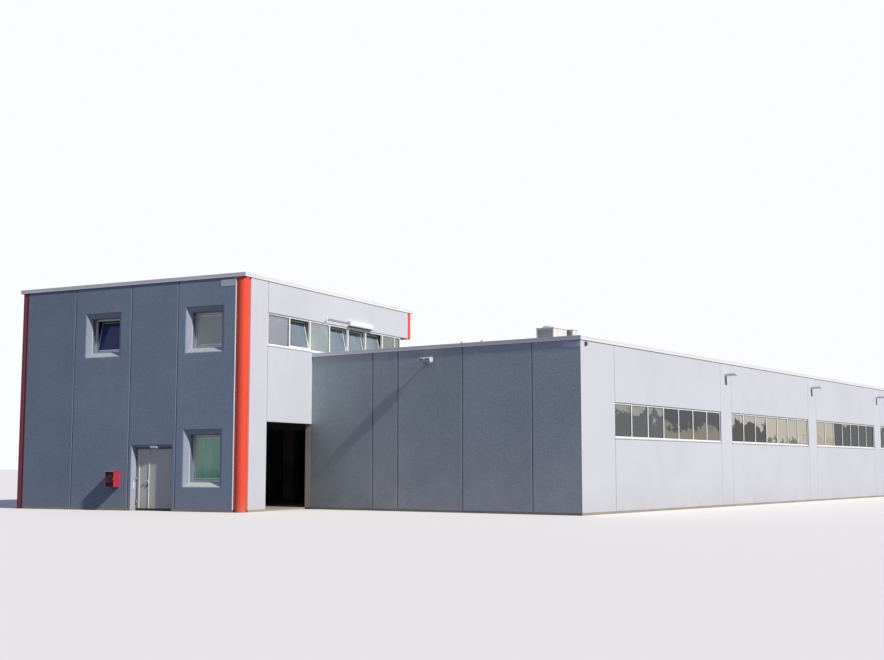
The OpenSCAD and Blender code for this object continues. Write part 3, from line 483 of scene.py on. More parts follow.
def ribbonGlass():
    material, tree, shader = startMaterial("ribbonGlass", {"Roughness": 0.04, "Specular IOR Level": 0.5})
    whole = site["rear"] - sideJoint
    bars = [i * site["blockPane"] for i in range(7)] + [whole - site["bar"] - site["narrowPane"]]
    share = ranged(tree, maths(tree, "SUBTRACT", wallPlace(tree, blockSide), sideJoint), 0.0, whole)
    # The blue tints of the tilted panes are painted sky reflection; the paler, clearer panes let the blinds
    # behind them show
    tints = [(0.39, 0.42, 0.47, 0.45), (0.19, 0.26, 0.33, 0.85), (0.52, 0.61, 0.62, 0.4),
             (0.20, 0.27, 0.34, 0.85), (0.20, 0.27, 0.33, 0.85), (0.22, 0.30, 0.32, 0.8),
             (0.27, 0.33, 0.31, 0.75), (0.18, 0.22, 0.21, 0.7)]
    colour, alpha = stepped(tree, share, [(bar / whole, tint) for bar, tint in zip(bars, tints)])
    veil = ranged(tree, noise(tree, objectPlace(tree), 1.3, 3), 0.3, 0.7, 0.8, 1.15)
    tree.links.new(shaded(tree, colour, veil), shader.inputs["Base Color"])
    tree.links.new(alpha, shader.inputs["Alpha"])
    return material


# Reflections painted into the hall's panes from each place on: above, below and how high below
hallPaintedReflections = [
    (0, (0.30, 0.31, 0.29), (0.10, 0.11, 0.12), 0.75),
    (3 * hallPane + 0.01, (0.06, 0.068, 0.075), (0.21, 0.20, 0.16), 0.45),
    (site["bayPitch"], (0.44, 0.45, 0.43), (0.055, 0.052, 0.045), 0.70),
    (site["bayPitch"] + 3 * hallPane + 0.01, (0.48, 0.45, 0.37), (0.14, 0.13, 0.10), 0.15),
    (2 * site["bayPitch"], (0.46, 0.43, 0.34), (0.38, 0.35, 0.27), 0.3),
    (2 * site["bayPitch"] + 2 * hallPane + 0.01, (0.45, 0.46, 0.42), (0.03, 0.038, 0.042), 1.05),
    (3 * site["bayPitch"], (0.30, 0.30, 0.24), (0.04, 0.05, 0.045), 0.85),
]


def hallGlass():
    material, tree, shader = startMaterial("hallGlass", {"Roughness": 0.05, "Specular IOR Level": 0.1,
                                                         "Alpha": 0.92})
    place = maths(tree, "SUBTRACT", wallPlace(tree, hallRight), site["corner"])
    whole = site["bays"] * site["bayPitch"]
    share = ranged(tree, place, 0.0, whole)
    uppers = [(at / whole, (*upper, reach)) for at, upper, lower, reach in hallPaintedReflections]
    lowers = [(at / whole, (*lower, 1)) for at, upper, lower, reach in hallPaintedReflections]
    upper, reach = stepped(tree, share, uppers)
    lower = stepped(tree, share, lowers)[0]
    shapes = noise(tree, objectPlace(tree, (1.2, 1.2, 2.0)), 2.4, 5, 0.65)
    level = ranged(tree, heightOf(tree), site["sill"], hallHead)
    ragged = ranged(tree, shapes, 0.25, 0.75, -0.45, 0.45)
    rise = maths(tree, "ADD", maths(tree, "SUBTRACT", reach, level), ragged)
    tree.links.new(mixed(tree, ranged(tree, rise, -0.03, 0.03), upper, lower), shader.inputs["Base Color"])
    return material


# The front's panes: a green film below, a pale grey above that is partly painted reflection, and deep blue in
# the far, tilted one
frontTints = {"far": -2.4, "high": 2.0, "low": [(0.24, 0.70, 0.40), (0.32, 0.86, 0.50)],
              "upper": (0.42, 0.48, 0.42), "tilted": (0.034, 0.075, 0.28)}


def frontGlass():
    material, tree, shader = startMaterial("frontGlass", {"Roughness": 0.05, "Alpha": 0.92})
    isFar = maths(tree, "LESS_THAN", wallPlace(tree, blockFront), frontTints["far"])
    isHigh = maths(tree, "GREATER_THAN", heightOf(tree), frontTints["high"])
    film = noise(tree, objectPlace(tree, (6, 6, 0.8)), 2.0, 2)
    green = mixed(tree, ranged(tree, film, 0.3, 0.7), *frontTints["low"])
    colour = mixed(tree, isHigh, green, frontTints["upper"])
    colour = mixed(tree, isFar, colour, frontTints["tilted"])
    tree.links.new(colour, shader.inputs["Base Color"])
    tree.links.new(ranged(tree, isFar, 0, 1, 1.0, 0.2), shader.inputs["Specular IOR Level"])
    return material


def plainGlass(name, colour, alpha):
    material, tree, shader = startMaterial(name, {"Roughness": 0.04, "Alpha": alpha})
    tint = mixed(tree, noise(tree, objectPlace(tree), 6, 2), colour, [c * 0.8 for c in colour])
    tree.links.new(tint, shader.inputs["Base Color"])
    return material


made["ribbonGlass"] = ribbonGlass()
made["hallGlass"] = hallGlass()
made["frontGlass"] = frontGlass()
made["lens"] = plainGlass("lens", (0.75, 0.78, 0.8), 0.9)
made["darkLens"] = plainGlass("darkLens", (0.16, 0.17, 0.19), 0.9)
made["cabinetPane"] = plainGlass("cabinetPane", (0.07, 0.015, 0.025), 0.55)
print("materials made:", len(made))

# The finish of each node that keeps its own shape
finishes = {
    "sidePaint": ["hall_side_corner_panels", "hall_side_piers", "hall_side_lower_panels",
                  "hall_side_upper_panels", "hall_left_panels", "block_side_panel", "side_spandrel_panel",
                  "parapet_panels", "block_left_panels"],
    "shadedHallPaint": ["hall_front_panels", "hall_rear_panels"],
    "shadedBlockPaint": ["front_panel_1", "front_panel_2", "door_side_panels", "door_head_panel",
                   "front_panel_4", "block_rear_panels"],
    "concrete": ["hall_floor", "hall_plinth", "posts", "hall_girders", "block_floor", "block_plinth",
                 "upper_floor"],
    "hallCoping": ["hall_coping"],
    "blockCoping": ["block_coping"],
    "columnRed": ["corner_columns"],
    "white": ["hall_window_frames", "ribbon_frame", "ribbon_sashes", "awning_box"],
    "frameGrey": ["front_window_frames"],
    "sashGrey": ["front_window_sash"],
    "doorPaint": ["narrow_door_leaf", "wide_door_leaf"],
    "doorFrame": ["door_frame"],
    "roofFelt": ["hall_roof", "block_roof"],
    "ribbonGlass": ["ribbon_glass"],
    "hallGlass": ["hall_glass"],
    "frontGlass": ["front_window_glass"],
    "lampGrey": ["floodlights"],
    "unitWhite": ["roof_units", "roof_vents", "door_lamp"],
    "cabinetRed": ["hose_cabinet"],
}
for finish, names in finishes.items():
    for name in names:
        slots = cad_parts[name].data.materials
        slots.clear()
        slots.append(made[finish])
print("finishes set on", sum(len(names) for names in finishes.values()), "nodes")

# Sealant in the open joints between the panels, and a bead beside each corner column: white at the near one,
# a painted highlight of the sunlit panel end, and dark at the far one
sealant = {"back": 0.009, "deep": 0.03, "front": [-0.875, -2.2, -3.525, -4.065],
           "blockFront": [-3.643, -2.375, -1.367], "beadWide": 0.014, "beadProud": 0.003,
           "beadEdge": 0.0015}


def panelJoints():
    low, top = site["plinth"], site["hallTop"]
    starts = [site["corner"] + i * site["bayPitch"] for i in range(site["bays"])]
    ends = [start + ribbonLong for start in starts]
    rows = [(hallFront, at, low, top) for at in sealant["front"]]
    rows += [(hallRight, at, low, top) for at in starts + ends]
    rows += [(hallLeft, at, low, top) for at in starts[1:] + ends]
    rows += [(hallRear, (i + 1) * site["hallWide"] / 8, low, top) for i in range(7)]
    rows += [(blockFront, at, low, site["blockTop"]) for at in sealant["blockFront"]]
    return rows


def makeSealant():
    bm = bmesh.new()
    half = site["joint"] / 2
    for wall, at, low, high in panelJoints():
        addBox(bm, (at - half, sealant["back"], low), (at + half, sealant["deep"], high - 0.01), wall)
    finishPiece(bm, "panelSealant", "sealant")
    top = site["blockTop"] - site["coping"] + 0.01
    for name, finish, end, inwards in (("nearBeadHighlight", "white", -site["cornerOpen"], -1),
                                       ("farBead", "sealant", site["cornerOpen"] - site["blockWide"], 1)):
        bm = bmesh.new()
        low = min(end, end + inwards * sealant["beadWide"])
        addBox(bm, (low, -sealant["beadProud"], site["plinth"]),
               (low + sealant["beadWide"], 0.004, top), blockFront)
        addBox(bm, (end - sealant["beadEdge"], -sealant["beadProud"], site["plinth"]),
               (end + sealant["beadEdge"], sealant["deep"], top), blockFront)
        finishPiece(bm, name, finish)


makeSealant()
print("sealant laid")

# Where the tilted sashes hang: the foot of each by its left end, and its clear size
ribbonSash = {"bays": [1, 3, 4, 5], "wide": site["blockPane"] - site["bar"],
              "high": site["blockRibbonHigh"] - 2 * site["bar"]}
frontSash = {"wide": frontWindow["wide"] - 2 * frontEdge, "high": frontWindow["mouths"][2][2] - 2 * frontEdge}


def sashPlace(wall, u, v, z):
    return (wall @ Matrix.Translation((u, v, z)) @ Matrix.Rotation(-math.radians(site["tilt"]), 4, "X")
            @ Matrix.Translation((0, -site["sashDeep"], 0)))


def ribbonSashPlaces():
    return [sashPlace(blockSide, sideJoint + bay * site["blockPane"] + site["bar"], frameBack,
                      site["blockSill"] + site["bar"]) for bay in ribbonSash["bays"]]


def frontSashPlace():
    u, z, high = frontWindow["mouths"][2]
    return sashPlace(blockFront, u + frontEdge, frontWindow["glazing"] + site["frameDeep"], z + frontEdge)


# The opening of each pane, with the glass's front face: the hall's, the block's and the tilted ones
def hallPanes():
    bar = site["bar"]
    front = site["frameFace"] + (site["frameDeep"] - site["glass"]) / 2
    for wall, bays in ((hallRight, range(site["bays"])), (hallLeft, range(1, site["bays"]))):
        for bay in bays:
            first = site["corner"] + bay * site["bayPitch"] + bar
            for pane in range(site["panes"]):
                at = first + pane * hallPane
                yield wall, (at, at + hallPane - bar, site["sill"] + bar, hallHead - bar), front


def blockPanes():
    bar, low, high = site["bar"], site["blockSill"] + site["bar"], blockHead - site["bar"]
    front = site["frameFace"] + (site["frameDeep"] - site["glass"]) / 2
    narrow = site["rear"] - bar - site["narrowPane"]
    for at, end in ((sideJoint, sideJoint + site["blockPane"]),
                    (sideJoint + 2 * site["blockPane"], sideJoint + 3 * site["blockPane"]),
                    (sideJoint + 6 * site["blockPane"], narrow), (narrow, site["rear"] - bar)):
        yield blockSide, (at + bar, end, low, high), front


def sashPanes():
    bar, front = site["sashBar"], (site["sashDeep"] - site["glass"]) / 2
    for place in ribbonSashPlaces():
        yield place, (bar, ribbonSash["wide"] - bar, bar, ribbonSash["high"] - bar), front
    yield frontSashPlace(), (bar, frontSash["wide"] - bar, bar, frontSash["high"] - bar), front


def shutPanes():
    for u, z, high in frontWindow["mouths"][:2]:
        opening = (u + frontEdge, u + frontWindow["wide"] - frontEdge, z + frontEdge, z + high - frontEdge)
        yield blockFront, opening, frontWindow["glazing"] + (site["frameDeep"] - site["glass"]) / 2


gasket = {"wide": 0.006, "deep": 0.004}


def makeGaskets():
    bm = bmesh.new()
    for place, opening, front in [*hallPanes(), *blockPanes(), *sashPanes(), *shutPanes()]:
        addRing(bm, place, opening, gasket["wide"], front - gasket["deep"], front + 0.001)
    finishPiece(bm, "paneGaskets", "rubber")


makeGaskets()
print("gaskets set")

# Folded sills under the hall's ribbons and the block's ribbon
sill = {"proud": 0.010, "hallDrop": 0.012, "blockDrop": 0.012, "sheet": 0.004, "fall": 0.004, "over": 0.012}


def ribbonSill(bm, wall, start, end, level, drop):
    lip, sheet = -sill["proud"], sill["sheet"]
    section = [(site["frameFace"], level + 0.0005), (site["frameFace"], level + sheet + sill["fall"]),
               (lip, level + sheet), (lip, level - drop), (lip + sheet, level - drop),
               (lip + sheet, level + 0.0005)]
    addStrip(bm, section, start - sill["over"], end + sill["over"], wall)


def makeSills():
    bm = bmesh.new()
    for wall, bays in ((hallRight, range(site["bays"])), (hallLeft, range(1, site["bays"]))):
        for bay in bays:
            start = site["corner"] + bay * site["bayPitch"]
            ribbonSill(bm, wall, start, start + ribbonLong, site["sill"], sill["hallDrop"])
    finishPiece(bm, "hallSills", "lampGrey")
    bm = bmesh.new()
    ribbonSill(bm, blockSide, sideJoint, site["rear"] - 0.2, site["blockSill"], sill["blockDrop"])
    finishPiece(bm, "blockSill", "white")


makeSills()
print("sills folded")

# Cover caps on the uprights of the block's ribbon
cap = {"wide": 0.038, "proud": 0.004, "round": 0.001}


def makeCaps():
    bm = bmesh.new()
    low, high = site["blockSill"] + site["bar"], blockHead - site["bar"]
    uprights = [sideJoint + i * site["blockPane"] for i in range(1, 7)]
    for at in uprights:
        middle = at + site["bar"] / 2
        upright = addBox(bm, (middle - cap["wide"] / 2, site["frameFace"] - cap["proud"], low),
                         (middle + cap["wide"] / 2, site["frameFace"] + 0.001, high), blockSide)
        roundEdges(bm, cap["round"], upright, 1)
    finishPiece(bm, "uprightCaps", "white")


makeCaps()
print("caps set")

# The shut front windows' inner sashes, and the hardware of the tilted ones
shutSash = {"gap": 0.006, "wide": 0.026, "proud": 0.005}
stay = {"radius": 0.0035, "up": 0.26, "sashUp": 0.30, "inset": 0.006, "plate": (0.03, 0.004, 0.02),
        "lever": 0.05}


def makeShutSashes():
    bm = bmesh.new()
    for place, opening, front in shutPanes():
        inset = [side + sign * shutSash["gap"] for side, sign in zip(opening, (1, -1, 1, -1))]
        addRing(bm, place, inset, shutSash["wide"], front - shutSash["proud"], front + 0.001)
    finishPiece(bm, "shutSashes", "sashGrey")


# A slim bead down both sides of each front reveal, where its splay meets the lining
bead = {"radius": 0.005, "inset": 0.082, "v": 0.086}


def makeBeads():
    bm = bmesh.new()
    for u, z, high in frontWindow["mouths"]:
        for at in (u + bead["inset"], u + frontWindow["wide"] - bead["inset"]):
            addRod(bm, (at, bead["v"], z + bead["inset"]), (at, bead["v"], z + high - bead["inset"]),
                   bead["radius"], 12, blockFront)
    finishPiece(bm, "revealBeads", "white")


def addStays(bm, place, wide, high, wall, u, v, z):
    for side in (stay["inset"], wide - stay["inset"]):
        held = wall.inverted() @ place @ Vector((side, site["sashDeep"], stay["sashUp"]))
        addRod(bm, (u + side, v, z + stay["up"]), held, stay["radius"], 10, wall)
    plateWide, plateDeep, plateHigh = stay["plate"]
    middle, top = wide / 2, high - 0.002
    addBox(bm, (middle - plateWide / 2, site["sashDeep"], top - plateHigh),
           (middle + plateWide / 2, site["sashDeep"] + plateDeep, top), place)
    addRod(bm, (middle, site["sashDeep"] + plateDeep, top - 0.012),
           (middle, site["sashDeep"] + 0.028, top - 0.012), 0.005, 12, place)
    addRod(bm, (middle, site["sashDeep"] + 0.026, top - 0.012),
           (middle + stay["lever"], site["sashDeep"] + 0.026, top - 0.012), 0.005, 12, place)


def makeSashHardware():
    bm = bmesh.new()
    for bay, place in zip(ribbonSash["bays"], ribbonSashPlaces()):
        addStays(bm, place, ribbonSash["wide"], ribbonSash["high"], blockSide,
                 sideJoint + bay * site["blockPane"] + site["bar"], frameBack,
                 site["blockSill"] + site["bar"])
    u, z, high = frontWindow["mouths"][2]
    addStays(bm, frontSashPlace(), frontSash["wide"], frontSash["high"], blockFront, u + frontEdge,
             frontWindow["glazing"] + site["frameDeep"], z + frontEdge)
    finishPiece(bm, "sashStays", "steel")


makeShutSashes()
makeBeads()
makeSashHardware()
print("sashes fitted")

# Rigid blinds behind two panes of the block's ribbon: closed boards, and upright slats
boards = {"high": 0.05, "thick": 0.0016, "lean": 0.004, "back": 0.052}
slats = {"wide": 0.046, "thick": 0.002, "step": 0.05, "turn": 28, "back": 0.085, "rail": 0.02}


def makeBoards():
    bm = bmesh.new()
    start, end = sideJoint + site["bar"] + 0.004, sideJoint + site["blockPane"] - 0.004
    level, back, thick = site["blockSill"] + site["bar"] + 0.002, boards["back"], boards["thick"]
    while level + boards["high"] < blockHead - site["bar"] + 0.002:
        top, lean = level + boards["high"], back + boards["lean"]
        addStrip(bm, [(back, level), (back + thick, level), (lean + thick, top), (lean, top)], start, end,
                 blockSide)
        level += boards["high"] - 0.004
    finishPiece(bm, "closedBoards", "blind")


def makeSlats():
    bm = bmesh.new()
    start = sideJoint + 2 * site["blockPane"] + site["bar"]
    end = start + site["blockPane"] - site["bar"]
    low, high = site["blockSill"] + site["bar"] + 0.006, blockHead - site["bar"] - slats["rail"]
    addBox(bm, (start, slats["back"] - 0.014, high), (end, slats["back"] + 0.014, high + slats["rail"]),
           blockSide)
    halfWide, halfThick = slats["wide"] / 2, slats["thick"] / 2
    at = start + slats["step"] / 2
    while at < end:
        lean = blockSide @ Matrix.Translation((at, slats["back"], 0)) @ Matrix.Rotation(
            math.radians(slats["turn"]), 4, "Z")
        addBox(bm, (-halfWide, -halfThick, low), (halfWide, halfThick, high), lean)
        at += slats["step"]
    finishPiece(bm, "uprightSlats", "slat")


# A rigid board on rails well behind the tilted sashes, so that the gaps beside them aren't black
innerBoard = {"v": 0.215, "thick": 0.004, "end": 0.15, "rail": 0.014, "inset": 0.01}


def makeInnerBoards():
    bm = bmesh.new()
    start, end = sideJoint + site["blockPane"], site["rear"] - innerBoard["end"]
    low, high, back = site["blockSill"] - 0.04, blockHead + 0.08, innerBoard["v"] + innerBoard["thick"]
    board = addBox(bm, (start, innerBoard["v"], low), (end, back, high), blockSide)
    roundEdges(bm, 0.001, board, 1)
    for level in (low + 0.02, high - 0.02 - innerBoard["rail"]):
        addBox(bm, (start + innerBoard["inset"], back, level),
               (end - innerBoard["inset"], back + innerBoard["rail"], level + innerBoard["rail"]), blockSide)
    finishPiece(bm, "innerBoards", "innerBoard")


makeBoards()
makeSlats()
makeInnerBoards()
print("blinds hung")

# Door gear: the leaves' front face and the edges of each leaf come from the frame
door = {"face": 0.096, "narrow": (-2.244, -1.979), "wide": (-1.974, -1.498)}
edgeBar = {"at": [-2.197, -1.9875], "radius": 0.006, "off": 0.004, "low": 0.045, "high": 1.030}
lever = {"at": -2.004, "high": 0.5, "out": 0.006, "thick": 0.0115, "plate": (0.018, 0.0025, 0.15),
         "lock": 0.071, "lockAt": -2.016, "lockThick": 0.020, "lockOut": 0.014, "lockEdge": 0.003}
weatherBar = {"low": 0.0315, "high": 0.042, "proud": 0.003}
jambPlate = {"at": (-2.279, 0.050), "wide": 0.016, "thick": 0.005, "low": 0.375, "high": 0.485}


def makeEdgeBars():
    bm = bmesh.new()
    for at in edgeBar["at"]:
        v = door["face"] - edgeBar["off"]
        addRod(bm, (at, v, edgeBar["low"]), (at, v, edgeBar["high"]), edgeBar["radius"], 20, blockFront)
    finishPiece(bm, "leafBars", "white", "narrow_door")


def makeLever():
    bm = bmesh.new()
    wide, deep, high = lever["plate"]
    plate = addBox(bm, (lever["at"] - wide / 2, door["face"] - deep, lever["high"] - high * 0.75),
                   (lever["at"] + wide / 2, door["face"], lever["high"] + high * 0.25), blockFront)
    roundEdges(bm, 0.0012, plate, 2)
    addRod(bm, (lever["at"], door["face"], lever["high"]),
           (lever["at"], door["face"] - lever["out"], lever["high"]), lever["thick"], 28, blockFront)
    finishPiece(bm, "leverPlate", "steel", "narrow_door")
    bm = bmesh.new()
    lock, end = lever["high"] - lever["lock"], door["face"] - lever["lockOut"]
    at, thick, edge = lever["lockAt"], lever["lockThick"], lever["lockEdge"]
    addRod(bm, (at, door["face"], lock), (at, end + edge, lock), thick, 28, blockFront)
    addRod(bm, (at, end + edge, lock), (at, end, lock), thick, 28, blockFront, thick - edge)
    finishPiece(bm, "leafLock", "darkMetal", "narrow_door")


def makeWeatherBars():
    for body, (start, end) in (("narrow_door", door["narrow"]), ("wide_door", door["wide"])):
        bm = bmesh.new()
        face = door["face"]
        section = [(face + 0.001, weatherBar["high"]), (face + 0.001, weatherBar["low"]),
                   (face - weatherBar["proud"], weatherBar["low"]), (face - 0.001, weatherBar["high"])]
        addStrip(bm, section, start + 0.004, end - 0.004, blockFront)
        finishPiece(bm, body + "_weatherBar", "rubber", body)


def makeJambPlate():
    bm = bmesh.new()
    across = math.atan2(0.062, 0.040)
    place = (blockFront @ Matrix.Translation((*jambPlate["at"], 0)) @ Matrix.Rotation(across, 4, "Z"))
    plate = addBox(bm, (-jambPlate["wide"] / 2, -jambPlate["thick"], jambPlate["low"]),
                   (jambPlate["wide"] / 2, 0.004, jambPlate["high"]), place)
    roundEdges(bm, 0.0012, plate, 1)
    finishPiece(bm, "jambPlate", "white")


# The clear cover on the front of the lamp over the door
doorLamp = {"start": -1.905, "end": -1.765, "front": 0.004, "proud": 0.002, "low": 1.061, "high": 1.086}


def makeDoorLampCover():
    bm = bmesh.new()
    cover = addBox(bm, (doorLamp["start"], doorLamp["front"] - doorLamp["proud"], doorLamp["low"]),
                   (doorLamp["end"], doorLamp["front"] + 0.001, doorLamp["high"]), blockFront)
    roundEdges(bm, 0.001, cover, 1)
    finishPiece(bm, "doorLampCover", "lens")


makeEdgeBars()
makeLever()
makeWeatherBars()
makeJambPlate()
makeDoorLampCover()
print("door gear fitted")

# The hose cabinet's pane, its reel's rim and spokes, its latch and the pale edge of its lid
cabinet = {"left": -2.734, "right": -2.554, "low": 0.40, "high": 0.662, "front": -0.150, "rim": 0.01,
           "lid": 0.006, "paneDeep": 0.005}
reel = {"centre": (-2.644, -0.1405, 0.531), "rim": 0.058, "thick": 0.004, "spoke": 0.002, "spokes": 6,
        "hub": 0.016}


def makeCabinetPane():
    bm = bmesh.new()
    gap, front = cabinet["rim"] + 0.001, cabinet["front"]
    addBox(bm, (cabinet["left"] + gap, front + cabinet["paneDeep"], cabinet["low"] + gap),
           (cabinet["right"] - gap, front + cabinet["paneDeep"] + 0.002, cabinet["high"] - gap), blockFront)
    finishPiece(bm, "cabinetPane", "cabinetPane")


def makeReelRim():
    bm = bmesh.new()
    x, v, z = reel["centre"]
    addHoop(bm, (x, v, z), reel["rim"], reel["thick"], (0, 1, 0), blockFront)
    for spoke in range(reel["spokes"]):
        turn = math.tau * spoke / reel["spokes"]
        end = (x + reel["rim"] * math.cos(turn), v, z + reel["rim"] * math.sin(turn))
        addRod(bm, (x, v, z), end, reel["spoke"], 8, blockFront)
    addRod(bm, (x, v - 0.002, z), (x, v + 0.004, z), reel["hub"], 24, blockFront)
    finishPiece(bm, "reelRim", "white")


def makeCabinetTrim():
    bm = bmesh.new()
    lid, front = cabinet["lid"], cabinet["front"] - cabinet["lid"]
    top = cabinet["high"] + lid
    section = [(front, cabinet["high"] + 0.001), (front - 0.0015, cabinet["high"] + 0.001),
               (front - 0.0015, top + 0.0015), (front + 0.012, top + 0.0015), (front + 0.012, top),
               (front, top)]
    addStrip(bm, section, cabinet["left"] - lid, cabinet["right"] + lid, blockFront)
    finishPiece(bm, "cabinetLidEdge", "white")
    bm = bmesh.new()
    latch = addBox(bm, (cabinet["right"] - 0.009, cabinet["front"] - 0.003, 0.52),
                   (cabinet["right"] - 0.002, cabinet["front"] + 0.001, 0.55), blockFront)
    roundEdges(bm, 0.0008, latch, 1)
    finishPiece(bm, "cabinetLatch", "steel")


makeCabinetPane()
makeReelRim()
makeCabinetTrim()
print("hose cabinet fitted")

# The awning box's front rail in its slot, with a dark sheet over the box's whole underside as painted shade,
# its end caps, and the sleeve and foot of its rod
awning = {"start": 3.280, "end": 4.135, "low": 3.370, "high": 3.465, "out": 0.070, "round": 0.020,
          "cap": 0.005, "capGap": 0.002, "rodV": -0.022, "rodZ": 3.427, "rodThick": 0.0055, "rodStart": 2.508,
          "underLow": 3.362}


def makeAwningRailAndUnderShade():
    bm = bmesh.new()
    out, low = awning["out"], awning["low"]
    section = [(-out + 0.014, awning["underLow"]), (-0.002, awning["underLow"]), (-0.002, low + 0.001),
               (-awning["round"] - 0.002, low + 0.001), (-awning["round"] - 0.002, low + 0.009),
               (-out + awning["round"] + 0.002, low + 0.009), (-out + awning["round"] + 0.002, low + 0.001),
               (-out + 0.014, low + 0.001)]
    addStrip(bm, section, awning["start"] + 0.006, awning["end"] - 0.006, blockSide)
    addRod(bm, (awning["rodStart"], awning["rodV"], awning["rodZ"]),
           (awning["start"], awning["rodV"], awning["rodZ"]), awning["rodThick"], 16, blockSide)
    finishPiece(bm, "awningRailAndUnderShade", "darkMetal")
    bm = bmesh.new()
    foot = addBox(bm, (awning["rodStart"] - 0.036, -0.030, 3.378), (awning["rodStart"] - 0.010, 0.0, 3.470),
                  blockSide)
    roundEdges(bm, 0.004, foot, 2)
    finishPiece(bm, "awningFoot", "white")


def makeAwningCaps():
    bm = bmesh.new()
    out, low, high, gap, bend = (awning["out"], awning["low"], awning["high"], awning["capGap"],
                                 awning["round"] * 0.3)
    section = [(-gap, low + gap), (-out + awning["round"], low + gap), (-out + bend, low + bend),
               (-out + gap, low + awning["round"]), (-out + gap, high - awning["round"]),
               (-out + bend, high - bend), (-out + awning["round"], high - gap), (-gap, high - gap)]
    for start in (awning["start"] - awning["cap"], awning["end"]):
        addStrip(bm, section, start, start + awning["cap"], blockSide)
    finishPiece(bm, "awningCaps", "lampGrey")


makeAwningRailAndUnderShade()
makeAwningCaps()
print("awning fitted")

# Floodlights: a lens in a rim and cooling fins on each head
pierLamp = {"first": 1, "wide": 0.105, "near": 0.022, "reach": 0.225, "low": 2.460, "high": 2.498, "fins": 6}
twinLamp = {"heads": [-2.92, -2.80], "wide": 0.105, "near": 0.066, "reach": 0.160, "low": 2.470,
            "high": 2.554, "fins": 5}
fin = {"thick": 0.003, "high": 0.007, "inset": 0.012}
lens = {"thick": 0.0015, "inset": 0.009, "rim": 0.004}


def addFins(bm, wall, u, lamp, end):
    start, run = u - lamp["wide"] / 2 + fin["inset"], lamp["wide"] - 2 * fin["inset"]
    for step in range(lamp["fins"]):
        at = start + step * run / (lamp["fins"] - 1)
        addBox(bm, (at - fin["thick"] / 2, end, lamp["high"] - 0.001),
               (at + fin["thick"] / 2, -lamp["near"] - 0.006, lamp["high"] + fin["high"]), wall)


def makeLampGear():
    glass, dark, metal = bmesh.new(), bmesh.new(), bmesh.new()
    for bay in range(pierLamp["first"], site["bays"]):
        u = site["corner"] + bay * site["bayPitch"] - site["pier"] / 2
        half, low = pierLamp["wide"] / 2 - lens["inset"], pierLamp["low"]
        opening = (u - half, u + half, pierLamp["near"] + 0.07, pierLamp["reach"] - 0.024)
        addBox(glass, (opening[0], -opening[3], low - lens["thick"]), (opening[1], -opening[2], low + 0.001),
               hallRight)
        lying = hallRight @ Matrix.Translation((0, 0, low)) @ Matrix.Rotation(math.pi / 2, 4, "X")
        addRing(metal, lying, (opening[0] - lens["rim"], opening[1] + lens["rim"], -opening[3] - lens["rim"],
                               -opening[2] + lens["rim"]), lens["rim"], -0.001, 0.003)
        addFins(metal, hallRight, u, pierLamp, -pierLamp["reach"] + 0.045)
    for u in twinLamp["heads"]:
        edge = (twinLamp["high"] - twinLamp["low"]) / 4
        opening = (u - twinLamp["wide"] / 2 + lens["inset"], u + twinLamp["wide"] / 2 - lens["inset"],
                   twinLamp["low"] + edge + 0.004, twinLamp["high"] - edge - 0.004)
        addBox(dark, (opening[0], -twinLamp["reach"] - lens["thick"], opening[2]),
               (opening[1], -twinLamp["reach"] + 0.001, opening[3]), hallFront)
        addRing(metal, hallFront, (opening[0] - lens["rim"], opening[1] + lens["rim"],
                                   opening[2] - lens["rim"], opening[3] + lens["rim"]), lens["rim"],
                -twinLamp["reach"] - 0.003, -twinLamp["reach"] + 0.001)
        addFins(metal, hallFront, u, twinLamp, -twinLamp["reach"] + 0.088)
    finishPiece(glass, "lampLenses", "lens")
    finishPiece(dark, "twinLenses", "darkLens")
    finishPiece(metal, "lampFins", "lampGrey")


makeLampGear()
print("floodlights fitted")

# Bare plates at the tops of two corners, and the small box on the hall's side
plates = {"thick": 0.003, "places": [(blockFront, -0.490, -0.205, 3.732, 3.842),
                                     (hallFront, -0.290, -0.020, 2.585, 2.665)]}
smallBox = {"low": (0.135, -0.022, 2.615), "high": (0.200, 0.0, 2.672)}


def makePlates():
    bm = bmesh.new()
    for wall, left, right, low, high in plates["places"]:
        addBox(bm, (left, -plates["thick"], low), (right, 0.001, high), wall)
    finishPiece(bm, "barePlates", "plate")
    bm = bmesh.new()
    body = addBox(bm, smallBox["low"], smallBox["high"], hallRight)
    roundEdges(bm, 0.002, body, 2)
    finishPiece(bm, "cornerBox", "darkMetal")


makePlates()
print("plates set")

# Roof gear: fan, guard, coils and seams of the air units, collars of the vents, flashings and drains
airUnit = {"left": -1.980, "front": 2.0, "wide": 0.345, "deep": 0.470, "low": 2.60, "high": 3.16,
           "cowl": 0.16, "cowlTop": 3.21, "recess": 0.0345, "rim": 0.026}
secondUnit = {"left": -1.950, "front": 2.53, "wide": 0.405, "deep": 0.170, "low": 2.60, "high": 3.16}
fan = {"hoops": [0.04, 0.075, 0.11, 0.146], "wire": 0.0018, "blades": 4, "hub": 0.032, "reach": 0.135,
       "pitch": 28, "level": 3.19}
seam = {"wide": 0.003, "proud": 0.0006}


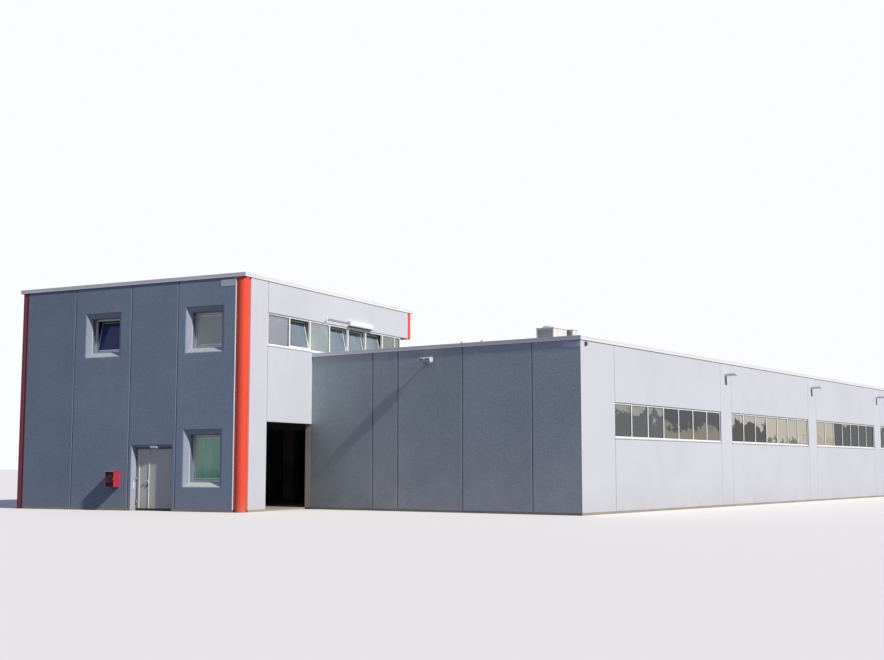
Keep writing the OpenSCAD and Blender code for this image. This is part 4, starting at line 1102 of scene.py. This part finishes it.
def makeFan():
    x = airUnit["left"] + airUnit["wide"] / 2
    y = airUnit["front"] + airUnit["deep"] / 2
    bm = bmesh.new()
    for radius in fan["hoops"]:
        addHoop(bm, (x, y, airUnit["cowlTop"]), radius, fan["wire"], (0, 0, 1), hallFront, 48, 6)
    for spoke in range(8):
        turn = math.tau * spoke / 8
        outer = airUnit["cowl"] - 0.006
        addRod(bm, (x, y, airUnit["cowlTop"]),
               (x + outer * math.cos(turn), y + outer * math.sin(turn), airUnit["cowlTop"]), fan["wire"], 6,
               hallFront)
    finishPiece(bm, "fanGuard", "steel")
    bm = bmesh.new()
    addRod(bm, (x, y, fan["level"] - 0.015), (x, y, fan["level"] + 0.012), fan["hub"], 32, hallFront)
    for blade in range(fan["blades"]):
        turn = Matrix.Rotation(math.tau * blade / fan["blades"], 4, "Z")
        lean = Matrix.Rotation(math.radians(fan["pitch"]), 4, "X")
        made = addBox(bm, (fan["hub"] - 0.004, -0.038, -0.001), (fan["reach"], 0.038, 0.001))
        bmesh.ops.transform(bm, matrix=hallFront @ Matrix.Translation((x, y, fan["level"])) @ turn @ lean,
                            verts=made)
    finishPiece(bm, "fanBlades", "darkMetal")


def makeCoils():
    bm = bmesh.new()
    for unit in (airUnit, secondUnit):
        rim, front = airUnit["rim"], unit["front"] + airUnit["recess"]
        addBox(bm, (unit["left"] + rim, front, unit["low"] + rim),
               (unit["left"] + unit["wide"] - rim, front + 0.001, unit["high"] - rim), hallFront)
    finishPiece(bm, "unitCoils", "coil")


def makeUnitSeams():
    bm = bmesh.new()
    for unit in (airUnit, secondUnit):
        left, right = unit["left"], unit["left"] + unit["wide"]
        front, back = unit["front"], unit["front"] + unit["deep"]
        for share in (0.35, 0.7):
            at = front + share * unit["deep"]
            for side in (left - seam["proud"], right):
                addBox(bm, (side, at, unit["low"] + 0.01), (side + seam["proud"], at + seam["wide"],
                                                          unit["high"] - 0.02), hallFront)
        for share in (0.3, 0.62):
            level = unit["low"] + share * (unit["high"] - unit["low"])
            addBox(bm, (left + 0.01, back, level), (right - 0.01, back + seam["proud"], level + seam["wide"]),
                   hallFront)
    finishPiece(bm, "unitSeams", "sealant")


vents = {"places": [(-2.125, 0.5), (-2.53, 0.5)], "pipe": 0.02, "foot": 0.062, "high": 0.05,
         "flange": 0.02, "sheet": 0.004, "collar": 0.027, "collarUp": 0.2, "collarHigh": 0.012}


def makeVentCollars():
    bm = bmesh.new()
    for x, y in vents["places"]:
        base = site["roof"]
        sheet, collar = base + vents["sheet"], base + vents["collarUp"]
        addRod(bm, (x, y, base), (x, y, sheet), vents["foot"] + vents["flange"], 32, hallFront)
        addRod(bm, (x, y, sheet), (x, y, base + vents["high"]), vents["foot"], 32, hallFront,
               vents["pipe"] + 0.002)
        addRod(bm, (x, y, collar), (x, y, collar + vents["collarHigh"]), vents["collar"], 32, hallFront)
    finishPiece(bm, "ventCollars", "steel")


edging = {"high": 0.11, "proud": 0.003, "foot": 0.05, "frontEnd": -5.0, "leftStart": 2.75, "blockEnd": 5.3}
drains = {"places": [(-3.0, 6.0), (-8.0, 6.0), (-3.0, 15.0), (-8.0, 15.0)], "radius": 0.07, "high": 0.008,
          "slots": 6, "slotHalf": 0.004, "slotHigh": 0.01}


def makeRoofEdging():
    bm = bmesh.new()
    inner, hallLevel, blockLevel = site["wall"], site["roof"], site["blockRoof"]
    runs = [(hallRight, inner, site["hallLong"] - inner, hallLevel),
            (hallFront, edging["frontEnd"], -inner, hallLevel),
            (hallLeft, edging["leftStart"], site["hallLong"] - inner, hallLevel),
            (hallRear, inner, site["hallWide"] - inner, hallLevel),
            (blockFront, inner - site["blockWide"], -inner, blockLevel),
            (blockSide, inner, edging["blockEnd"], blockLevel),
            (blockLeft, inner, edging["blockEnd"], blockLevel)]
    for wall, start, end, level in runs:
        proud = inner + edging["proud"]
        section = [(inner, level), (inner, level + edging["high"]), (proud, level + edging["high"] - 0.002),
                   (proud + 0.001, level + 0.004), (inner + edging["foot"], level + 0.003),
                   (inner + edging["foot"], level)]
        addStrip(bm, section, start, end, wall)
    finishPiece(bm, "roofEdging", "steel")


def makeDrains():
    bm = bmesh.new()
    for x, y in drains["places"]:
        top, half = site["roof"] + drains["high"], drains["slotHalf"]
        addRod(bm, (x, y, site["roof"]), (x, y, top), drains["radius"], 32, hallFront,
               drains["radius"] * 0.85)
        for slot in range(drains["slots"]):
            turn = hallFront @ Matrix.Translation((x, y, top)) @ Matrix.Rotation(
                math.tau * slot / drains["slots"], 4, "Z")
            addBox(bm, (0.01, -half, 0), (drains["radius"] * 0.8, half, drains["slotHigh"]), turn)
    finishPiece(bm, "roofDrains", "darkMetal")


makeFan()
makeCoils()
makeUnitSeams()
makeVentCollars()
makeRoofEdging()
makeDrains()
print("roof gear fitted")


# Floor, light and camera
view = {"lens": 51.75, "sensor": 36, "place": (14.99, -27.62, 0.725), "pitch": 6.189, "yaw": 35.184,
        "reach": 500}
sunRun = (-1, 0.08, -0.79)
light = {"sun": 3.73, "tint": (1, 0.95, 0.88), "spread": 2.0, "sky": (0.17, 0.19, 0.33),
         "backdrop": (0.97, 0.98, 1)}
floorTones = {"bounce": (0.15, 0.15, 0.15), "seen": (0.88, 0.875, 0.83), "size": 400}


def makeFloor():
    bm = bmesh.new()
    bmesh.ops.create_grid(bm, x_segments=1, y_segments=1, size=floorTones["size"])
    mesh = bpy.data.meshes.new("floor")
    bm.to_mesh(mesh)
    bm.free()
    floor = bpy.data.objects.new("floor", mesh)
    bpy.context.scene.collection.objects.link(floor)
    material, tree, shader = startMaterial("floorPaint", {"Roughness": 0.9, "Specular IOR Level": 0.1})
    seen = addNode(tree, "LightPath").outputs["Is Camera Ray"]
    tree.links.new(mixed(tree, seen, floorTones["bounce"], floorTones["seen"]), shader.inputs["Base Color"])
    mesh.materials.append(material)


def makeLights():
    lamp = bpy.data.lights.new("sun", "SUN")
    lamp.energy = light["sun"]
    lamp.angle = math.radians(light["spread"])
    lamp.color = light["tint"]
    sun = bpy.data.objects.new("sun", lamp)
    sun.rotation_euler = Vector(sunRun).to_track_quat("-Z", "Y").to_euler()
    bpy.context.scene.collection.objects.link(sun)
    world = bpy.data.worlds.new("pale")
    world.use_nodes = True
    tree = world.node_tree
    rays = addNode(tree, "LightPath")
    seen = maths(tree, "MAXIMUM", maths(tree, "MAXIMUM", rays.outputs["Is Camera Ray"],
                                        rays.outputs["Is Glossy Ray"]), rays.outputs["Is Transmission Ray"])
    back = tree.nodes["Background"]
    tree.links.new(mixed(tree, seen, light["sky"], light["backdrop"]), back.inputs["Color"])
    bpy.context.scene.world = world


def makeCamera():
    data = bpy.data.cameras.new("camera")
    data.lens = view["lens"]
    data.sensor_width = view["sensor"]
    data.clip_end = view["reach"]
    camera = bpy.data.objects.new("camera", data)
    camera.location = view["place"]
    camera.rotation_euler = (math.radians(90 + view["pitch"]), 0, math.radians(view["yaw"]))
    bpy.context.scene.collection.objects.link(camera)
    bpy.context.scene.camera = camera


makeFloor()
makeLights()
makeCamera()
bpy.context.scene.view_settings.view_transform = "Standard"
print("floor, light and camera set")
